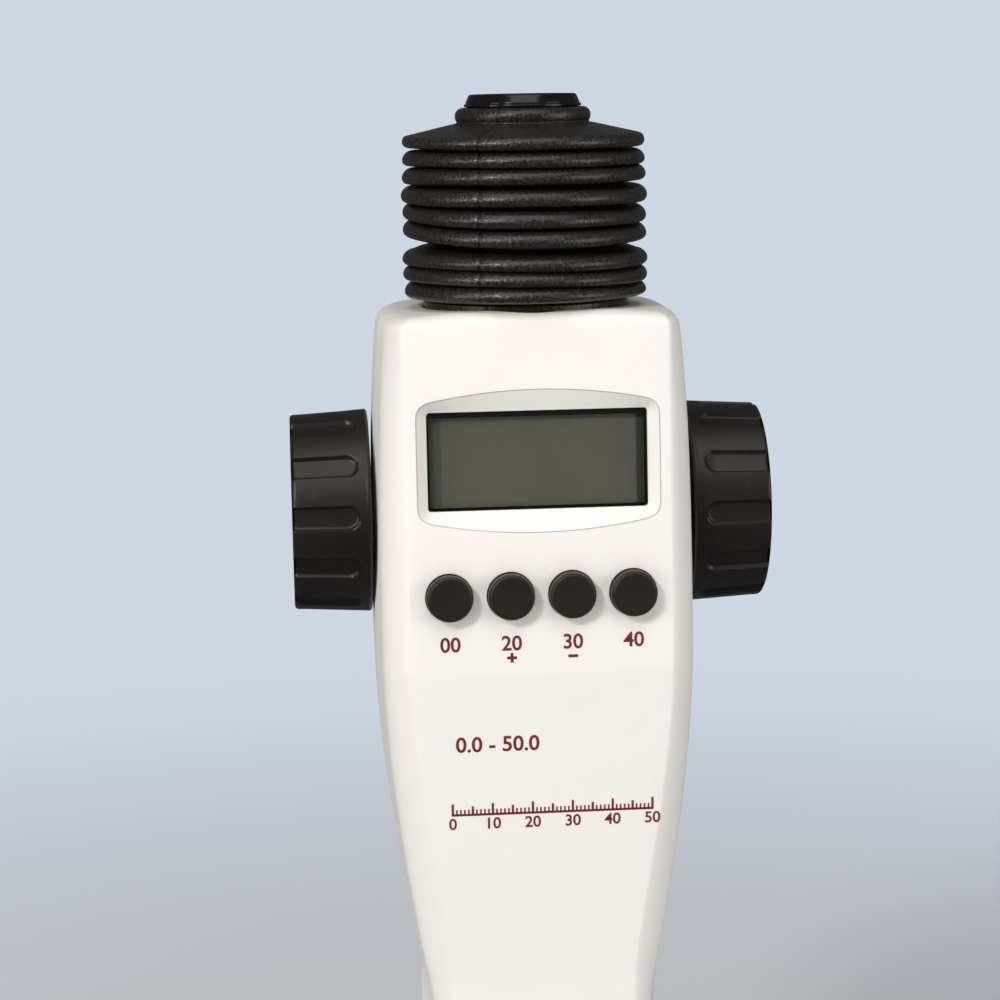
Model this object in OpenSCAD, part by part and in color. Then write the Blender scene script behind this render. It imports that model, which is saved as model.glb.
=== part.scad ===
// Digital burette for a laboratory bottle, hand driven, with a display on its housing.
// Frame: X to the right, Y to the back, Z up. The rod, the glass cylinder and the bottle
// neck share the axis X = Y = 0, and the origin is the middle of the collar's open mouth.

/* [Housing] */
// Width of the head of the housing
head_w = 68.8; // [67:0.2:70]
// Width of the column below the head
column_w = 52.2; // [51.6:0.2:54]
// Width of the flat front panel on the head
face_w = 56.6; // [56:0.2:57.6]
// Width of the flat front on the column
column_face_w = 40; // [38:0.5:41.5]
// Rod axis to the front panel at the crease
face_front = 27.2; // [26.8:0.2:29]
// Rod axis to the front of the column
column_front = 22; // [21.8:0.1:23]
// Rod axis to the back of the head
head_back = 28; // [27.4:0.1:29]
// Rod axis to the back of the column
column_back = 24; // [23.4:0.1:25]
// Height where the shells begin, above the collar's mouth
shell_base_z = 50; // [49:0.5:51]
// Height where the column starts to widen
waist_z = 100; // [95:1:103]
// Height of the crease between the column's slope and the panel
crease_z = 169.5; // [168.5:0.25:170.5]
// Height of the crown of the housing
head_top_z = 246.2; // [245.4:0.2:247.4]
// Drop of the arched top at the sides
top_arch = 1.9; // [1.4:0.1:2.2]
// Lean of the front panel, in degrees
panel_tilt = 2.5; // [1.5:0.25:3.5]
// Wall thickness of the shells
wall = 2; // [1.6:0.1:2.2]
// Place of the parting plane between the shells
split_y = -4; // [-5:0.5:-3]

/* [Display] */
// Width of the display window
window_w = 46.8; // [45:0.2:47]
// Height of the display window
window_h = 21; // [20:0.2:21.4]
// Height of the window's middle above the crease
window_v = 45.2; // [44.8:0.1:45.8]
// Width of the sloped recess round the window
recess_w = 51.4; // [51:0.1:52]
// Height of the sloped recess at its middle
recess_h = 30.2; // [29.6:0.1:30.6]
// Depth of the sloped recess
recess_depth = 2.6; // [2.2:0.1:2.8]
// Thickness of the clear window
window_t = 1.2; // [0.8:0.1:1.4]
// Thickness of the liquid crystal glass
lcd_t = 2.6; // [2:0.1:2.8]
// Thickness of the circuit board
board_t = 1.6; // [1:0.2:2]

/* [Keys] */
// Diameter of a key
key_d = 9.8; // [9.2:0.1:10]
// Distance from key to key
key_pitch = 13; // [12.8:0.05:13.2]
// Height of the key row above the crease
key_v = 16.8; // [16.4:0.1:17.8]
// How far a key stands out of the panel
key_rise = 3.4; // [2.6:0.1:4]
// How far a key travels when it is pressed
key_travel = 0.8; // [0.5:0.1:0.8]
// Radial gap between a key and its hole
key_gap = 0.3; // [0.25:0.05:0.35]

/* [Handwheels] */
// Diameter of a handwheel at the housing side
wheel_d = 44.8; // [42:0.2:46]
// Width of a handwheel
wheel_w = 17; // [16.6:0.1:19]
// Gap between the housing and a handwheel
wheel_gap = 0.5; // [0.4:0.1:1.4]
// Number of grip flutes round a handwheel
flute_count = 12; // [10:1:14]
// Width of a grip flute
flute_w = 5.8; // [5:0.2:6.2]
// Depth of a grip flute
flute_depth = 1.0; // [0.7:0.1:1.2]
// Height of the handwheel shaft
shaft_z = 200; // [199.5:0.5:201]
// Diameter of the handwheel shaft
shaft_d = 6; // [5.6:0.1:6.2]

/* [Gears and rack] */
// Module of all teeth
tooth_module = 0.8; // [0.78:0.01:0.82]
// Teeth on both small pinions
pinion_teeth = 12; // [12:1:12]
// Teeth on the reduction gear
gear_teeth = 24; // [22:1:24]
// Amount by which each tooth is thinner than half a pitch
tooth_play = 0.08; // [0.06:0.01:0.12]
// Diameter of the counter shaft
counter_d = 5; // [4.6:0.1:5.2]
// Width of the rack rod
rod_w = 8; // [7.6:0.1:8.4]
// Rod axis to the plain back of the rack rod
rod_back = 4.5; // [4.3:0.1:4.6]
// Rod axis to the tips of the rack teeth
rod_tip = 4.5; // [4.4:0.1:4.6]
// Thickness of the plates of the gear frame
plate_t = 2; // [1.6:0.1:2.2]
// Radius of the slotted encoder disc
encoder_r = 12; // [11:0.25:12.5]

/* [Measuring cylinder] */
// Inner diameter of the glass cylinder
glass_bore = 32; // [31.6:0.1:32.4]
// Wall of the glass cylinder
glass_wall = 2.5; // [2:0.1:2.6]
// Height of the glass cylinder's foot
glass_base_z = 56.8; // [56.4:0.1:57]
// Length of the glass cylinder
glass_h = 81.2; // [80:0.2:81.6]
// Piston travel for the full volume
stroke = 62.17; // [58:0.01:63]
// Height of the piston
piston_h = 12.5; // [11:0.5:13]

/* [Bellows] */
// Outer diameter of the folds
fold_d = 52.8; // [51.4:0.2:54]
// Number of folds
fold_count = 9; // [8:1:9]
// Distance from fold to fold, squeezed down
fold_pitch = 3.65; // [3.5:0.05:3.7]
// Extra gap above the third fold
fold_gap = 2.3; // [1.5:0.1:2.4]
// Diameter between the folds
root_d = 43; // [42.6:0.2:45]
// Wall of the bellows
skin = 1; // [0.8:0.1:1.1]
// Diameter of the foot of the bellows
foot_d = 44.2; // [43.6:0.2:45.6]
// Diameter of the grip ring at the top of the bellows
grip_d = 29.2; // [28.8:0.2:30.6]

/* [Valve block and bottle] */
// Diameter of the valve block
block_d = 44; // [43.6:0.2:46]
// Radius of the bore that takes the bottle's threaded neck
neck_r = 22.3; // [22:0.1:22.6]
// Outer diameter of the bottle collar
collar_d = 56; // [54:0.5:60]
// Height of the bottle collar
collar_h = 20; // [19.6:0.1:20.2]
// Diameter of a valve ball
ball_d = 4.8; // [4.4:0.1:5]
// Travel of a valve ball off its seat
ball_lift = 1; // [0.6:0.1:1.2]
// Outer diameter of the discharge tube
tube_d = 4.4; // [4:0.1:4.6]
// Reach of the discharge tube in front of the rod axis
tube_reach = 92; // [84:1:110]
// Height of the end of the discharge tube
tube_end_z = 4; // [2:0.5:8]

/* [Hidden] */

$fn = 72;
over = 0.5;          // cutters run past the surface by this much
fit = 0.05;          // radial clearance of a running fit
press = 0.02;        // radial clearance of parts pressed together
loose = 0.3;         // clearance round what moves freely
pressure_angle = 25;

// Housing
shoulder_z = crease_z + 6;
top_narrowing = 2.3;
top_curve = 3.2;
head_draft = 0.9;
column_draft = 2.6;
bevel_depth = 9;
column_bevel_depth = 6;
side_steps = 4;
corner_steps = 4;
back_corner = 9;
top_edge = 2.8;
top_edge_in = 4;
floor_t = wall;

// Drive line: the rack pinion stands behind the rod, and the shaft lies right below it
pinion_r = tooth_module * pinion_teeth / 2;
gear_r = tooth_module * gear_teeth / 2;
tooth_pitch = PI * tooth_module;
rack_line_y = rod_tip - tooth_module;
shaft_y = rack_line_y + pinion_r;
counter_z = shaft_z + pinion_r + gear_r;
gear_x = rod_w / 2 + 2.3;
gear_t = 3.9;
hub_t = 1.3;
gear_hub_r = 5;
bush_t = 2;
left_plate_x = -9;
right_plate_x = gear_x + gear_t + hub_t + 0.5;
frame_back_y = head_back - wall - 0.8;
web_t = 1.6;
frame_front_y = -9.8;
frame_low_z = shaft_z - 8.4;
frame_high_z = counter_z + 10.6;

// Handwheels
wheel_r = wheel_d / 2;
wheel_tip_r = wheel_r - 0.9;
wheel_x = half_width(shaft_z) + wheel_gap;
shaft_end_x = wheel_x + 11;
wheel_web_t = 1.2;
flute_phase = 0.85;
well_r = 7.2;
dish_r = 17;
dish_depth = 1.2;
wheel_screw_bite = 5;
encoder_x = -20.5;
encoder_t = 1;

// Panel parts, as depths behind the panel's face
window_d0 = recess_depth + 0.8;
lcd_d0 = window_d0 + window_t + 0.3;
board_d0 = 11.5;
board_w = 48.4;
board_v0 = 3;
board_v1 = 66;
post_x = 21.5;
post_low_v = 6.5;
post_high_v = 63;
post_r = 2.2;
key_flange_d0 = wall + 0.15;
key_flange_t = 1;
key_flange_r = key_d / 2 + 1.1;
switch_d0 = 8.4;
plunger_h = 0.8;
key_stem_end = switch_d0 - plunger_h - key_travel - 0.1;

// Pan head screws: radius of the shank, radius of the head, height of the head
shell_screw = [1.25, 2.5, 1.9];
board_screw = [0.95, 1.9, 1.3];
frame_screw = [0.95, 2, 1.2];
foot_screw = [1, 2, 1.2];
wheel_screw = [1.45, 2.7, 1.7];
rod_screw = [1.55, 3.4, 1.6];
screw_high = [27.4, head_top_z - 9.7];
screw_low = [24.4, shell_base_z + 95];
screw_seat_y = split_y + 8;
screw_bite = 7;
boss_r = 2.6;

// Batteries
cell_r = 5.2;
cell_h = 44;
cell_x = 5.7;
cell_y = head_back - wall - 0.8 - cell_r;
cell_z = glass_base_z + glass_h + 5.6;
bay_half_w = cell_x + cell_r + 0.6;
cell_end_gap = 1.6;
contact_t = 0.5;
nub_h = 0.8;
bay_low_z = cell_z - cell_end_gap - contact_t;
bay_high_z = cell_z + cell_h + cell_end_gap + contact_t;
bay_wall = 1.2;
cover_gap = 0.25;
cover_lip = 1.4;

// Cylinder, head and piston
glass_r = glass_bore / 2;
glass_out_r = glass_r + glass_wall;
gasket_t = 0.8;
head_flange_z = shell_base_z + floor_t;
head_flange_r = glass_out_r + 1.4;
head_neck_r = glass_r + 0.2;
block_top_z = shell_base_z;
socket_z = block_top_z - 8;
piston_z = glass_base_z + 0.8;
piston_r = glass_r - 0.8;
spigot_r = 3;
glass_top_z = glass_base_z + glass_h;
rod_low_z = piston_z + piston_h;

// Bellows and its cap
foot_z = head_top_z - 1.4;
foot_t = 2.2;
first_fold_z = foot_z + foot_t + 2.1;
fold_tip_r = fold_d / 2;
root_r = root_d / 2;
gap_after = 3;
last_fold_z = fold_z(fold_count - 1);
grip_z = last_fold_z + 4;
grip_h = 3.4;
grip_r = grip_d / 2;
cap_groove_r = 11.8;
cap_flange_r = 13;
cap_r = 12.6;
cap_flange_z = grip_z - 1.6;
cap_top_z = grip_z + grip_h + 2.7;
cap_seat_z = cap_top_z - 2.4;
rod_high_z = cap_flange_z;
rod_screw_bite = 12;
rod_hole_r = 7;
ring_r = root_r - skin - 0.6;
ring_z = foot_z + foot_t;
ring_t = 1.4;

// Valve block: suction valve in the middle, discharge valve in front of it
block_r = block_d / 2;
block_low_z = collar_h + loose;
flange_z = 14.5;
flange_t = 3.1;
neck_flange_r = neck_r - 0.7;
neck_gasket_t = 1;
thread_h = flange_z - neck_gasket_t - 0.3;
block_neck_r = 19;
seat_r = ball_d / 2 - 0.6;
ball_r = ball_d / 2;
cage_r = ball_r + 0.6;
suction_seat_z = 23.5;
suction_ball_z = suction_seat_z + ball_seat_height() + fit;
bridge_z = suction_seat_z + 7;
valve_z = bridge_z - 1;
channel_r = 1.4;
lever_r = 7.4;
discharge_y = -16.2;
discharge_seat_z = bridge_z + 1;
discharge_ball_z = discharge_seat_z + ball_seat_height() + fit;
cage_h = ball_d + ball_lift + 0.4;
outlet_z = discharge_seat_z + 4.2;
outlet_r = 5;
vent_r = 3;
outlet_y = -(block_r + 8);
valve_y = -8;
valve_plug_r = 3;
valve_knob_x = block_r + 0.6;
nut_r = 7.5;
nipple_r = 4.5;
nipple_bore_r = 2;
nipple_h = 5;
bend_r = 12;
tube_r = tube_d / 2;
tube_bore_r = 1;
tip_cap_r = 4.6;

// Height of a ball's centre above the sharp edge that it sits on
function ball_seat_height() = sqrt(ball_r * ball_r - seat_r * seat_r);

// Height of a fold's tip, counted from the lowest fold
function fold_z(k) = first_fold_z + k * fold_pitch + (k >= gap_after ? fold_gap : 0);

// ---------------------------------------------------------------- housing surface
function clamp01(t) = max(0, min(1, t));
function widen(z) = sin(90 * clamp01((z - waist_z) / (shoulder_z - waist_z)));
function half_width(z) = column_w / 2 + (head_w - column_w) / 2 * widen(z)
    - top_narrowing * pow(clamp01((z - shoulder_z) / (head_top_z - shoulder_z)), top_curve);
function half_face(z) = column_face_w / 2 + (face_w - column_face_w) / 2 * pow(widen(z), 1.25);
function slope_share(z) = clamp01((z - waist_z) / (crease_z - waist_z));
function front_y(z) = z > crease_z ? (z - crease_z) * tan(panel_tilt) - face_front
    : -(column_front + (face_front - column_front) * slope_share(z));
function back_y(z) = column_back + (head_back - column_back)
    * clamp01((z - waist_z) / (bay_low_z - 9 - waist_z));
function arch_drop(x, z) = top_arch * pow(2 * x / head_w, 2) * clamp01((z - head_top_z) / 26 + 1);

// A parabola from a to c that leaves and arrives along the lines to b
function bend(a, b, c, n) = [for (i = [0:n]) let(t = i / n)
    a * pow(1 - t, 2) + b * 2 * t * (1 - t) + c * t * t];

// How far the side has drawn in where the bevel meets it
function side_draft(z) = head_draft + (column_draft - head_draft) * clamp01((waist_z + 3 - z) / 14);
function bevel_back(z) = column_bevel_depth + (bevel_depth - column_bevel_depth) * widen(z);

// Right half of a level section: panel edge, bevel, side wall, rounded back corner
function half_section(z, inset) = let(
        w = half_width(z) - inset, f = half_face(z) - 0.6 * inset, s = w - side_draft(z),
        yf = front_y(z) + inset, yb = back_y(z) - inset,
        corner = bend([w, split_y + 12], [w + 0.2, yb], [w - back_corner, yb], corner_steps))
    concat(bend([f, yf], [s - 0.6, yf + 0.5 * bevel_back(z)], [s, yf + bevel_back(z)], side_steps),
        [[w, split_y]], corner);

function whole_section(h) = concat(h, [for (i = [len(h) - 1:-1:0]) [-h[i].x, h[i].y]]);

// One ring of points; the section is drawn in towards the rod axis by the share s
function ring_points(z, inset, s) =
    [for (p = whole_section(half_section(z, inset)))
        let(x = p.x * s, y = p.y * s, drop = arch_drop(x, z))
        [x, y - (p.y < 0 ? drop * tan(panel_tilt) : 0), z - drop]];

// The rings from the foot to the crown: straight column, widening, panel, rounded top edge
function housing_rings(low_z, inset) = let(top = head_top_z - inset, edge = top - top_edge)
    concat([ring_points(low_z, inset, 1)],
        [for (i = [0:6]) ring_points(waist_z + i * (crease_z - waist_z) / 6, inset, 1)],
        [for (i = [1:5]) ring_points(crease_z + i * (edge - crease_z) / 5, inset, 1)],
        [ring_points(edge + 0.5 * top_edge, inset + 0.22 * top_edge_in, 1),
            ring_points(edge + 0.85 * top_edge, inset + 0.55 * top_edge_in, 1),
            ring_points(top, inset + top_edge_in, 1),
            ring_points(top, inset + top_edge_in, 0.6)]);

// Closed surface through the rings, with a point on the crown
module housing_body(low_z, inset) {
    rings = housing_rings(low_z, inset);
    n = len(rings[0]);
    m = len(rings);
    points = concat([for (r = rings) each r], [[0, 0, head_top_z - inset]]);
    sides = [for (i = [0:m - 2], j = [0:n - 1]) let(a = i * n + j, b = i * n + (j + 1) % n)
        each [[a, a + n, b + n], [a, b + n, b]]];
    crown = [for (j = [0:n - 1]) [(m - 1) * n + (j + 1) % n, (m - 1) * n + j, m * n]];
    polyhedron(points, concat([[for (j = [0:n - 1]) j]], sides, crown));
}

// ---------------------------------------------------------------- placing helpers
// Flat outline (Y, Z) thickened towards +X
module along_x(x) translate([x, 0, 0]) rotate([90, 0, 90]) children();

// Round things whose axis runs towards +Y
module along_y(x, y, z) translate([x, y, z]) rotate([-90, 0, 0]) children();

// Round things whose axis runs towards +X
module turned_x(x, y, z) translate([x, y, z]) rotate([90, 0, 90]) children();

// The panel's own frame: X across, Y into the housing, Z up the panel from the crease
module on_panel() translate([0, -face_front, crease_z]) rotate([-panel_tilt, 0, 0]) children();

module pipe(r_out, r_in, h) difference() {
    cylinder(h = h, r = r_out);
    translate([0, 0, -over]) cylinder(h = h + 2 * over, r = r_in);
}

module both_sides() {
    children();
    mirror([1, 0, 0]) children();
}

module slab(x0, x1, y0, y1, z0, z1) translate([x0, y0, z0]) cube([x1 - x0, y1 - y0, z1 - z0]);

// Pan head screw, head up, with its seat at z = 0 and a cross slot in its head
module pan_screw(size, length) {
    head_r = size[1];
    head_h = size[2];
    translate([0, 0, -length]) cylinder(h = length, r = size[0]);
    difference() {
        cylinder(h = head_h, r1 = head_r, r2 = head_r * 0.86);
        translate([0, 0, head_h * 0.45]) for (a = [0, 90]) rotate(a)
            cube([head_r * 1.1, head_r * 0.26, head_h * 1.2], center = true);
    }
}

// ---------------------------------------------------------------- housing
module screw_places() for (p = [screw_high, screw_low], s = [-1, 1])
    translate([s * p.x, 0, p.y]) children();

// Outline of the recess round the display: bowed top and bottom, straight sides
module recess_outline(w, h) {
    bow = 2.9;
    r = (w * w / 4 + bow * bow) / (2 * bow);
    intersection() {
        square([w, h], center = true);
        translate([0, h / 2 - r]) circle(r, $fn = 180);
        translate([0, r - h / 2]) circle(r, $fn = 180);
    }
}

module panel_plate(depth0, depth1) translate([0, depth1, window_v]) rotate([90, 0, 0])
    linear_extrude(depth1 - depth0) children();

module display_recess() on_panel() {
    hull() {
        panel_plate(-over, 0) recess_outline(recess_w, recess_h);
        panel_plate(recess_depth - 0.01, recess_depth) square([window_w, window_h], center = true);
    }
    panel_plate(recess_depth - over, window_d0 + over) square([window_w, window_h], center = true);
}

module display_well() on_panel() difference() {
    panel_plate(wall / 2, window_d0 + window_t) square([recess_w + 2, recess_h + 1], center = true);
    panel_plate(window_d0, window_d0 + window_t + over)
        square([window_w + 4 + 2 * fit, window_h + 4 + 2 * fit], center = true);
}

module key_places() for (i = [0:3]) translate([(i - 1.5) * key_pitch, 0, key_v]) children();

module board_posts() on_panel() for (s = [-1, 1], v = [post_low_v, post_high_v])
    along_y(s * post_x, wall / 2, v) cylinder(h = board_d0 - wall / 2, r = post_r);

module board_post_holes() on_panel() for (s = [-1, 1], v = [post_low_v, post_high_v])
    along_y(s * post_x, board_d0 - 6, v) cylinder(h = 6 + over, r = 1);

// Ribs inside both shells that centre the glass cylinder and stop it at the top
module cylinder_ribs() {
    for (z = [glass_base_z + 14, glass_top_z - 16]) difference() {
        slab(-40, 40, -40, 40, z, z + wall);
        translate([0, 0, z - over]) cylinder(h = wall + 2 * over, r = glass_out_r + fit);
    }
    difference() {
        slab(-40, 40, -40, 40, glass_top_z + 0.2, glass_top_z + 0.2 + wall);
        translate([0, 0, glass_top_z - over]) cylinder(h = wall + 2 * over + 1, r = glass_r - 2);
    }
}

module front_shell() color([0.97, 0.96, 0.94]) difference() {
    intersection() {
        housing_body(shell_base_z, 0);
        slab(-60, 60, -60, split_y, 0, 300);
        union() {
            difference() {
                slab(-60, 60, -60, split_y, 0, 300);
                housing_body(shell_base_z + floor_t, wall);
            }
            cylinder_ribs();
            display_well();
            board_posts();
            screw_places() along_y(0, -60, 0) cylinder(h = 60 + split_y, r = boss_r);
        }
    }
    display_recess();
    on_panel() key_places() along_y(0, -over, 0) cylinder(h = wall + 2, r = key_d / 2 + key_gap);
    board_post_holes();
    screw_places() along_y(0, split_y - screw_bite - 2, 0)
            cylinder(h = screw_bite + 2 + over, r = shell_screw[0] + fit);
    cylinder(h = 80, r = head_neck_r + loose);
    translate([0, 0, 200]) cylinder(h = 60, r = rod_hole_r);
    foot_recess();
    ring_screw_holes();
    translate([0, 0, head_flange_z]) cylinder(h = 6, r = head_flange_r + fit);
}

// Round seat on the crown for the foot of the bellows
module foot_recess() translate([0, 0, foot_z]) cylinder(h = 10, r = foot_d / 2 + loose);

module ring_screw_places() for (a = [30, 150, 270]) rotate(a) translate([ring_r - 3, 0, 0]) children();

module ring_screw_holes() ring_screw_places() translate([0, 0, foot_z - 6]) cylinder(h = 8, r = 1.05);

// Bay for the batteries, open to the back, with walls that stand on the rear shell
module battery_bay() difference() {
    slab(-bay_half_w - bay_wall, bay_half_w + bay_wall, cell_y - cell_r - 0.4 - bay_wall, 40,
        bay_low_z - bay_wall, bay_high_z + bay_wall);
    slab(-bay_half_w, bay_half_w, cell_y - cell_r - 0.4, 41, bay_low_z, bay_high_z);
}

module frame_pads() for (z = frame_screw_heights()) along_y(frame_mid_x(), frame_back_y, z)
    cylinder(h = 10, r = 4);

function frame_screw_heights() = [frame_low_z + 4, frame_high_z - 4];
function frame_mid_x() = (left_plate_x + right_plate_x + plate_t) / 2;

module rear_shell() color([0.95, 0.94, 0.93]) difference() {
    intersection() {
        housing_body(shell_base_z, 0);
        slab(-60, 60, split_y, 60, 0, 300);
        union() {
            difference() {
                slab(-60, 60, split_y, 60, 0, 300);
                housing_body(shell_base_z + floor_t, wall);
            }
            cylinder_ribs();
            battery_bay();
            frame_pads();
            screw_places() along_y(0, split_y, 0) cylinder(h = 60, r = boss_r + 1);
        }
    }
    screw_places() along_y(0, split_y - over, 0) cylinder(h = 60, r = shell_screw[0] + loose);
    screw_places() along_y(0, screw_seat_y, 0) cylinder(h = 60, r = shell_screw[1] + loose);
    slab(-bay_half_w, bay_half_w, cell_y - cell_r - 0.4, 60, bay_low_z, bay_high_z);
    cover_seat();
    for (z = frame_screw_heights()) along_y(frame_mid_x(), frame_back_y - over, z)
        cylinder(h = over + 2, r = 1);
    turned_x(-60, shaft_y, shaft_z) cylinder(h = 120, r = shaft_d / 2 + bush_t);
    cylinder(h = 80, r = head_neck_r + loose);
    translate([0, 0, 200]) cylinder(h = 60, r = rod_hole_r);
    foot_recess();
    ring_screw_holes();
    translate([0, 0, head_flange_z]) cylinder(h = 6, r = head_flange_r + fit);
}

// Step round the bay that the battery cover lies in
module cover_seat() slab(-bay_half_w - cover_lip, bay_half_w + cover_lip, head_back - wall / 2, 60,
    bay_low_z - cover_lip, bay_high_z + cover_lip);

module battery_cover() color([0.95, 0.94, 0.93]) {
    y0 = head_back - wall / 2;
    difference() {
        slab(-bay_half_w - cover_lip + cover_gap, bay_half_w + cover_lip - cover_gap, y0, head_back,
            bay_low_z - cover_lip + cover_gap, bay_high_z + cover_lip - cover_gap);
        for (i = [0:3]) along_y(0, head_back - 0.5, bay_low_z + 5 + 2.2 * i)
            slab(-6, 6, 0, 1, -0.5, 0.5);
    }
    for (s = [-1, 1]) slab(s * (bay_half_w - 0.6) - 0.4, s * (bay_half_w - 0.6) + 0.4,
        y0 - 2.4, y0, cell_z + 8, cell_z + 16);
}

module housing_screws() color([0.72, 0.72, 0.74]) screw_places()
    along_y(0, screw_seat_y, 0) pan_screw(shell_screw, screw_seat_y - split_y + screw_bite);

// ---------------------------------------------------------------- display and board
module display_window() color([0.75, 0.78, 0.74, 0.5]) on_panel()
    panel_plate(window_d0, window_d0 + window_t) square([window_w + 4, window_h + 4], center = true);

module lcd_panel() color([0.35, 0.35, 0.31]) on_panel()
    panel_plate(lcd_d0, lcd_d0 + lcd_t) square([window_w + 2.4, window_h + 6], center = true);

module lcd_frame() color([0.16, 0.16, 0.17]) on_panel() difference() {
    panel_plate(window_d0 + window_t + fit, board_d0)
        square([window_w + 5, window_h + 8.4], center = true);
    panel_plate(0, board_d0 + over)
        square([window_w + 2.4 + 2 * fit, window_h + 6 + 2 * fit], center = true);
}

module zebra_strips() color([0.75, 0.4, 0.55]) on_panel() for (s = [-1, 1])
    translate([0, 0, s * (window_h / 2 + 1.6)]) panel_plate(lcd_d0 + lcd_t, board_d0)
        square([window_w - 2, 2], center = true);

module circuit_board() color([0.1, 0.36, 0.2]) on_panel() difference() {
    slab(-board_w / 2, board_w / 2, board_d0, board_d0 + board_t, board_v0, board_v1);
    for (s = [-1, 1], v = [post_low_v, post_high_v])
        along_y(s * post_x, board_d0 - over, v) cylinder(h = board_t + 2 * over, r = 1.15);
}

module board_screws() color([0.75, 0.75, 0.77]) on_panel()
    for (s = [-1, 1], v = [post_low_v, post_high_v]) along_y(s * post_x, board_d0 + board_t, v)
        pan_screw(board_screw, board_t + 5);

// A chip on the back of the board, about the point x, v
module chip(x, v, w, h, t) slab(x - w / 2, x + w / 2, board_d0 + board_t, board_d0 + board_t + t,
    v - h / 2, v + h / 2);

// Display driver, memory, processor and key chip, a row of resistors and a round buzzer
module board_components() color([0.1, 0.1, 0.11]) on_panel() {
    chip(5, window_v, 14, 14, 2);
    chip(-16, window_v + 2.5, 8, 6, 1.6);
    chip(18, window_v + 0.5, 6, 12, 1.8);
    chip(9, key_v, 8, 5, 1.5);
    for (i = [0:5]) chip(3 * i - 19.2, board_v1 - 9.5, 1.6, 1, 0.8);
    along_y(18, board_d0 + board_t, 30) cylinder(h = 2.2, r = 2.5);
}

module tact_switches() color([0.2, 0.2, 0.22]) on_panel() key_places() {
    slab(-3, 3, switch_d0, board_d0, -3, 3);
    along_y(0, switch_d0 - plunger_h, 0) cylinder(h = plunger_h, r = 1.7);
}

// Forked light gate that straddles the rim of the encoder disc
module opto_sensor() color([0.08, 0.08, 0.09]) {
    edge_y = shaft_y - encoder_r;
    back = board_d0 + board_t - face_front + (shaft_z - crease_z) * tan(panel_tilt) + 0.3;
    difference() {
        slab(encoder_x - 3.4, encoder_x + encoder_t + 3.4, back, edge_y + 3, shaft_z - 4, shaft_z + 4);
        slab(encoder_x - 0.9, encoder_x + encoder_t + 0.9, edge_y - 1.5, 20, shaft_z - 5, shaft_z + 5);
    }
}

// One cell, its nub up; the two cells stand head to tail
module cell_places() for (s = [-1, 1])
    translate([s * cell_x, cell_y, cell_z + cell_h / 2]) scale([1, 1, s]) children();

module batteries() color([0.75, 0.6, 0.25]) cell_places() {
    translate([0, 0, -cell_h / 2]) cylinder(h = cell_h, r = cell_r);
    translate([0, 0, cell_h / 2]) cylinder(h = nub_h, r = 1.9);
}

// Plates at both ends, with a pip for the nub and a squeezed spring for the flat end
module battery_contacts() color([0.8, 0.8, 0.82]) cell_places() {
    end = cell_h / 2 + cell_end_gap;
    for (z = [-end - contact_t, end]) slab(-4, 4, -4, 4, z, z + contact_t);
    translate([0, 0, cell_h / 2 + nub_h]) cylinder(h = cell_end_gap - nub_h, r = 1.5);
    translate([0, 0, -end]) cylinder(h = cell_end_gap, r1 = 3.2, r2 = 2);
}

// ---------------------------------------------------------------- keys
// A round key: domed cap, flange behind the wall, stem towards its switch
module key(i) color([0.16, 0.14, 0.12]) on_panel() translate([(i - 1.5) * key_pitch, 0, key_v])
    along_y(0, 0, 0) {
        r = key_d / 2;
        rotate_extrude() polygon([[0, -key_rise], [r - 0.9, -key_rise], [r - 0.25, -key_rise + 0.3],
            [r, -key_rise + 1], [r, key_flange_d0 + key_flange_t], [2, key_flange_d0 + key_flange_t],
            [2, key_stem_end], [0, key_stem_end]]);
        difference() {
            translate([0, 0, key_flange_d0]) cylinder(h = key_flange_t, r = key_flange_r);
            translate([0, 0, key_flange_d0 - over]) cylinder(h = key_flange_t + 2 * over, r = r - 0.4);
        }
    }

module key_reset() key(0);
module key_plus() key(1);
module key_minus() key(2);
module key_memory() key(3);

// ---------------------------------------------------------------- handwheels and shaft
// Local frame of a handwheel: axis +Z, z = 0 at the housing side
module wheel_shape() {
    flute_r = (flute_w * flute_w / 4 + flute_depth * flute_depth) / (2 * flute_depth);
    difference() {
        rotate_extrude() polygon([[0, 0], [wheel_r - 0.6, 0], [wheel_r, 0.6], [wheel_tip_r, wheel_w - 0.9],
            [wheel_tip_r - 0.9, wheel_w], [dish_r, wheel_w], [dish_r - 0.6, wheel_w - dish_depth],
            [0, wheel_w - dish_depth]]);
        translate([0, 0, -over]) cylinder(h = shaft_end_x - wheel_x + over + fit, r = shaft_d / 2 + press);
        cylinder(h = wheel_w, r = wheel_screw[0] + 0.2);
        translate([0, 0, shaft_end_x - wheel_x + wheel_web_t]) cylinder(h = wheel_w, r = well_r);
        for (i = [0:flute_count - 1]) rotate((i + flute_phase) * 360 / flute_count)
            translate([wheel_r - 0.25 + flute_r - flute_depth, 0, 2.2 + 2.6]) {
                cylinder(h = wheel_w, r = flute_r);
                sphere(r = flute_r);
            }
    }
}

module right_wheel_place() turned_x(wheel_x, shaft_y, shaft_z) children();

module handwheel_right() color([0.18, 0.16, 0.14]) right_wheel_place() wheel_shape();
module handwheel_left() color([0.18, 0.16, 0.14]) mirror([1, 0, 0]) right_wheel_place() wheel_shape();

module wheel_caps() color([0.12, 0.11, 0.1]) both_sides() right_wheel_place()
    translate([0, 0, wheel_w - dish_depth - 1.7]) cylinder(h = 1.7, r = well_r - fit);

module wheel_screws() color([0.75, 0.75, 0.77]) both_sides() right_wheel_place()
    translate([0, 0, shaft_end_x - wheel_x + wheel_web_t])
        pan_screw(wheel_screw, wheel_web_t + wheel_screw_bite + 2.8);

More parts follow.
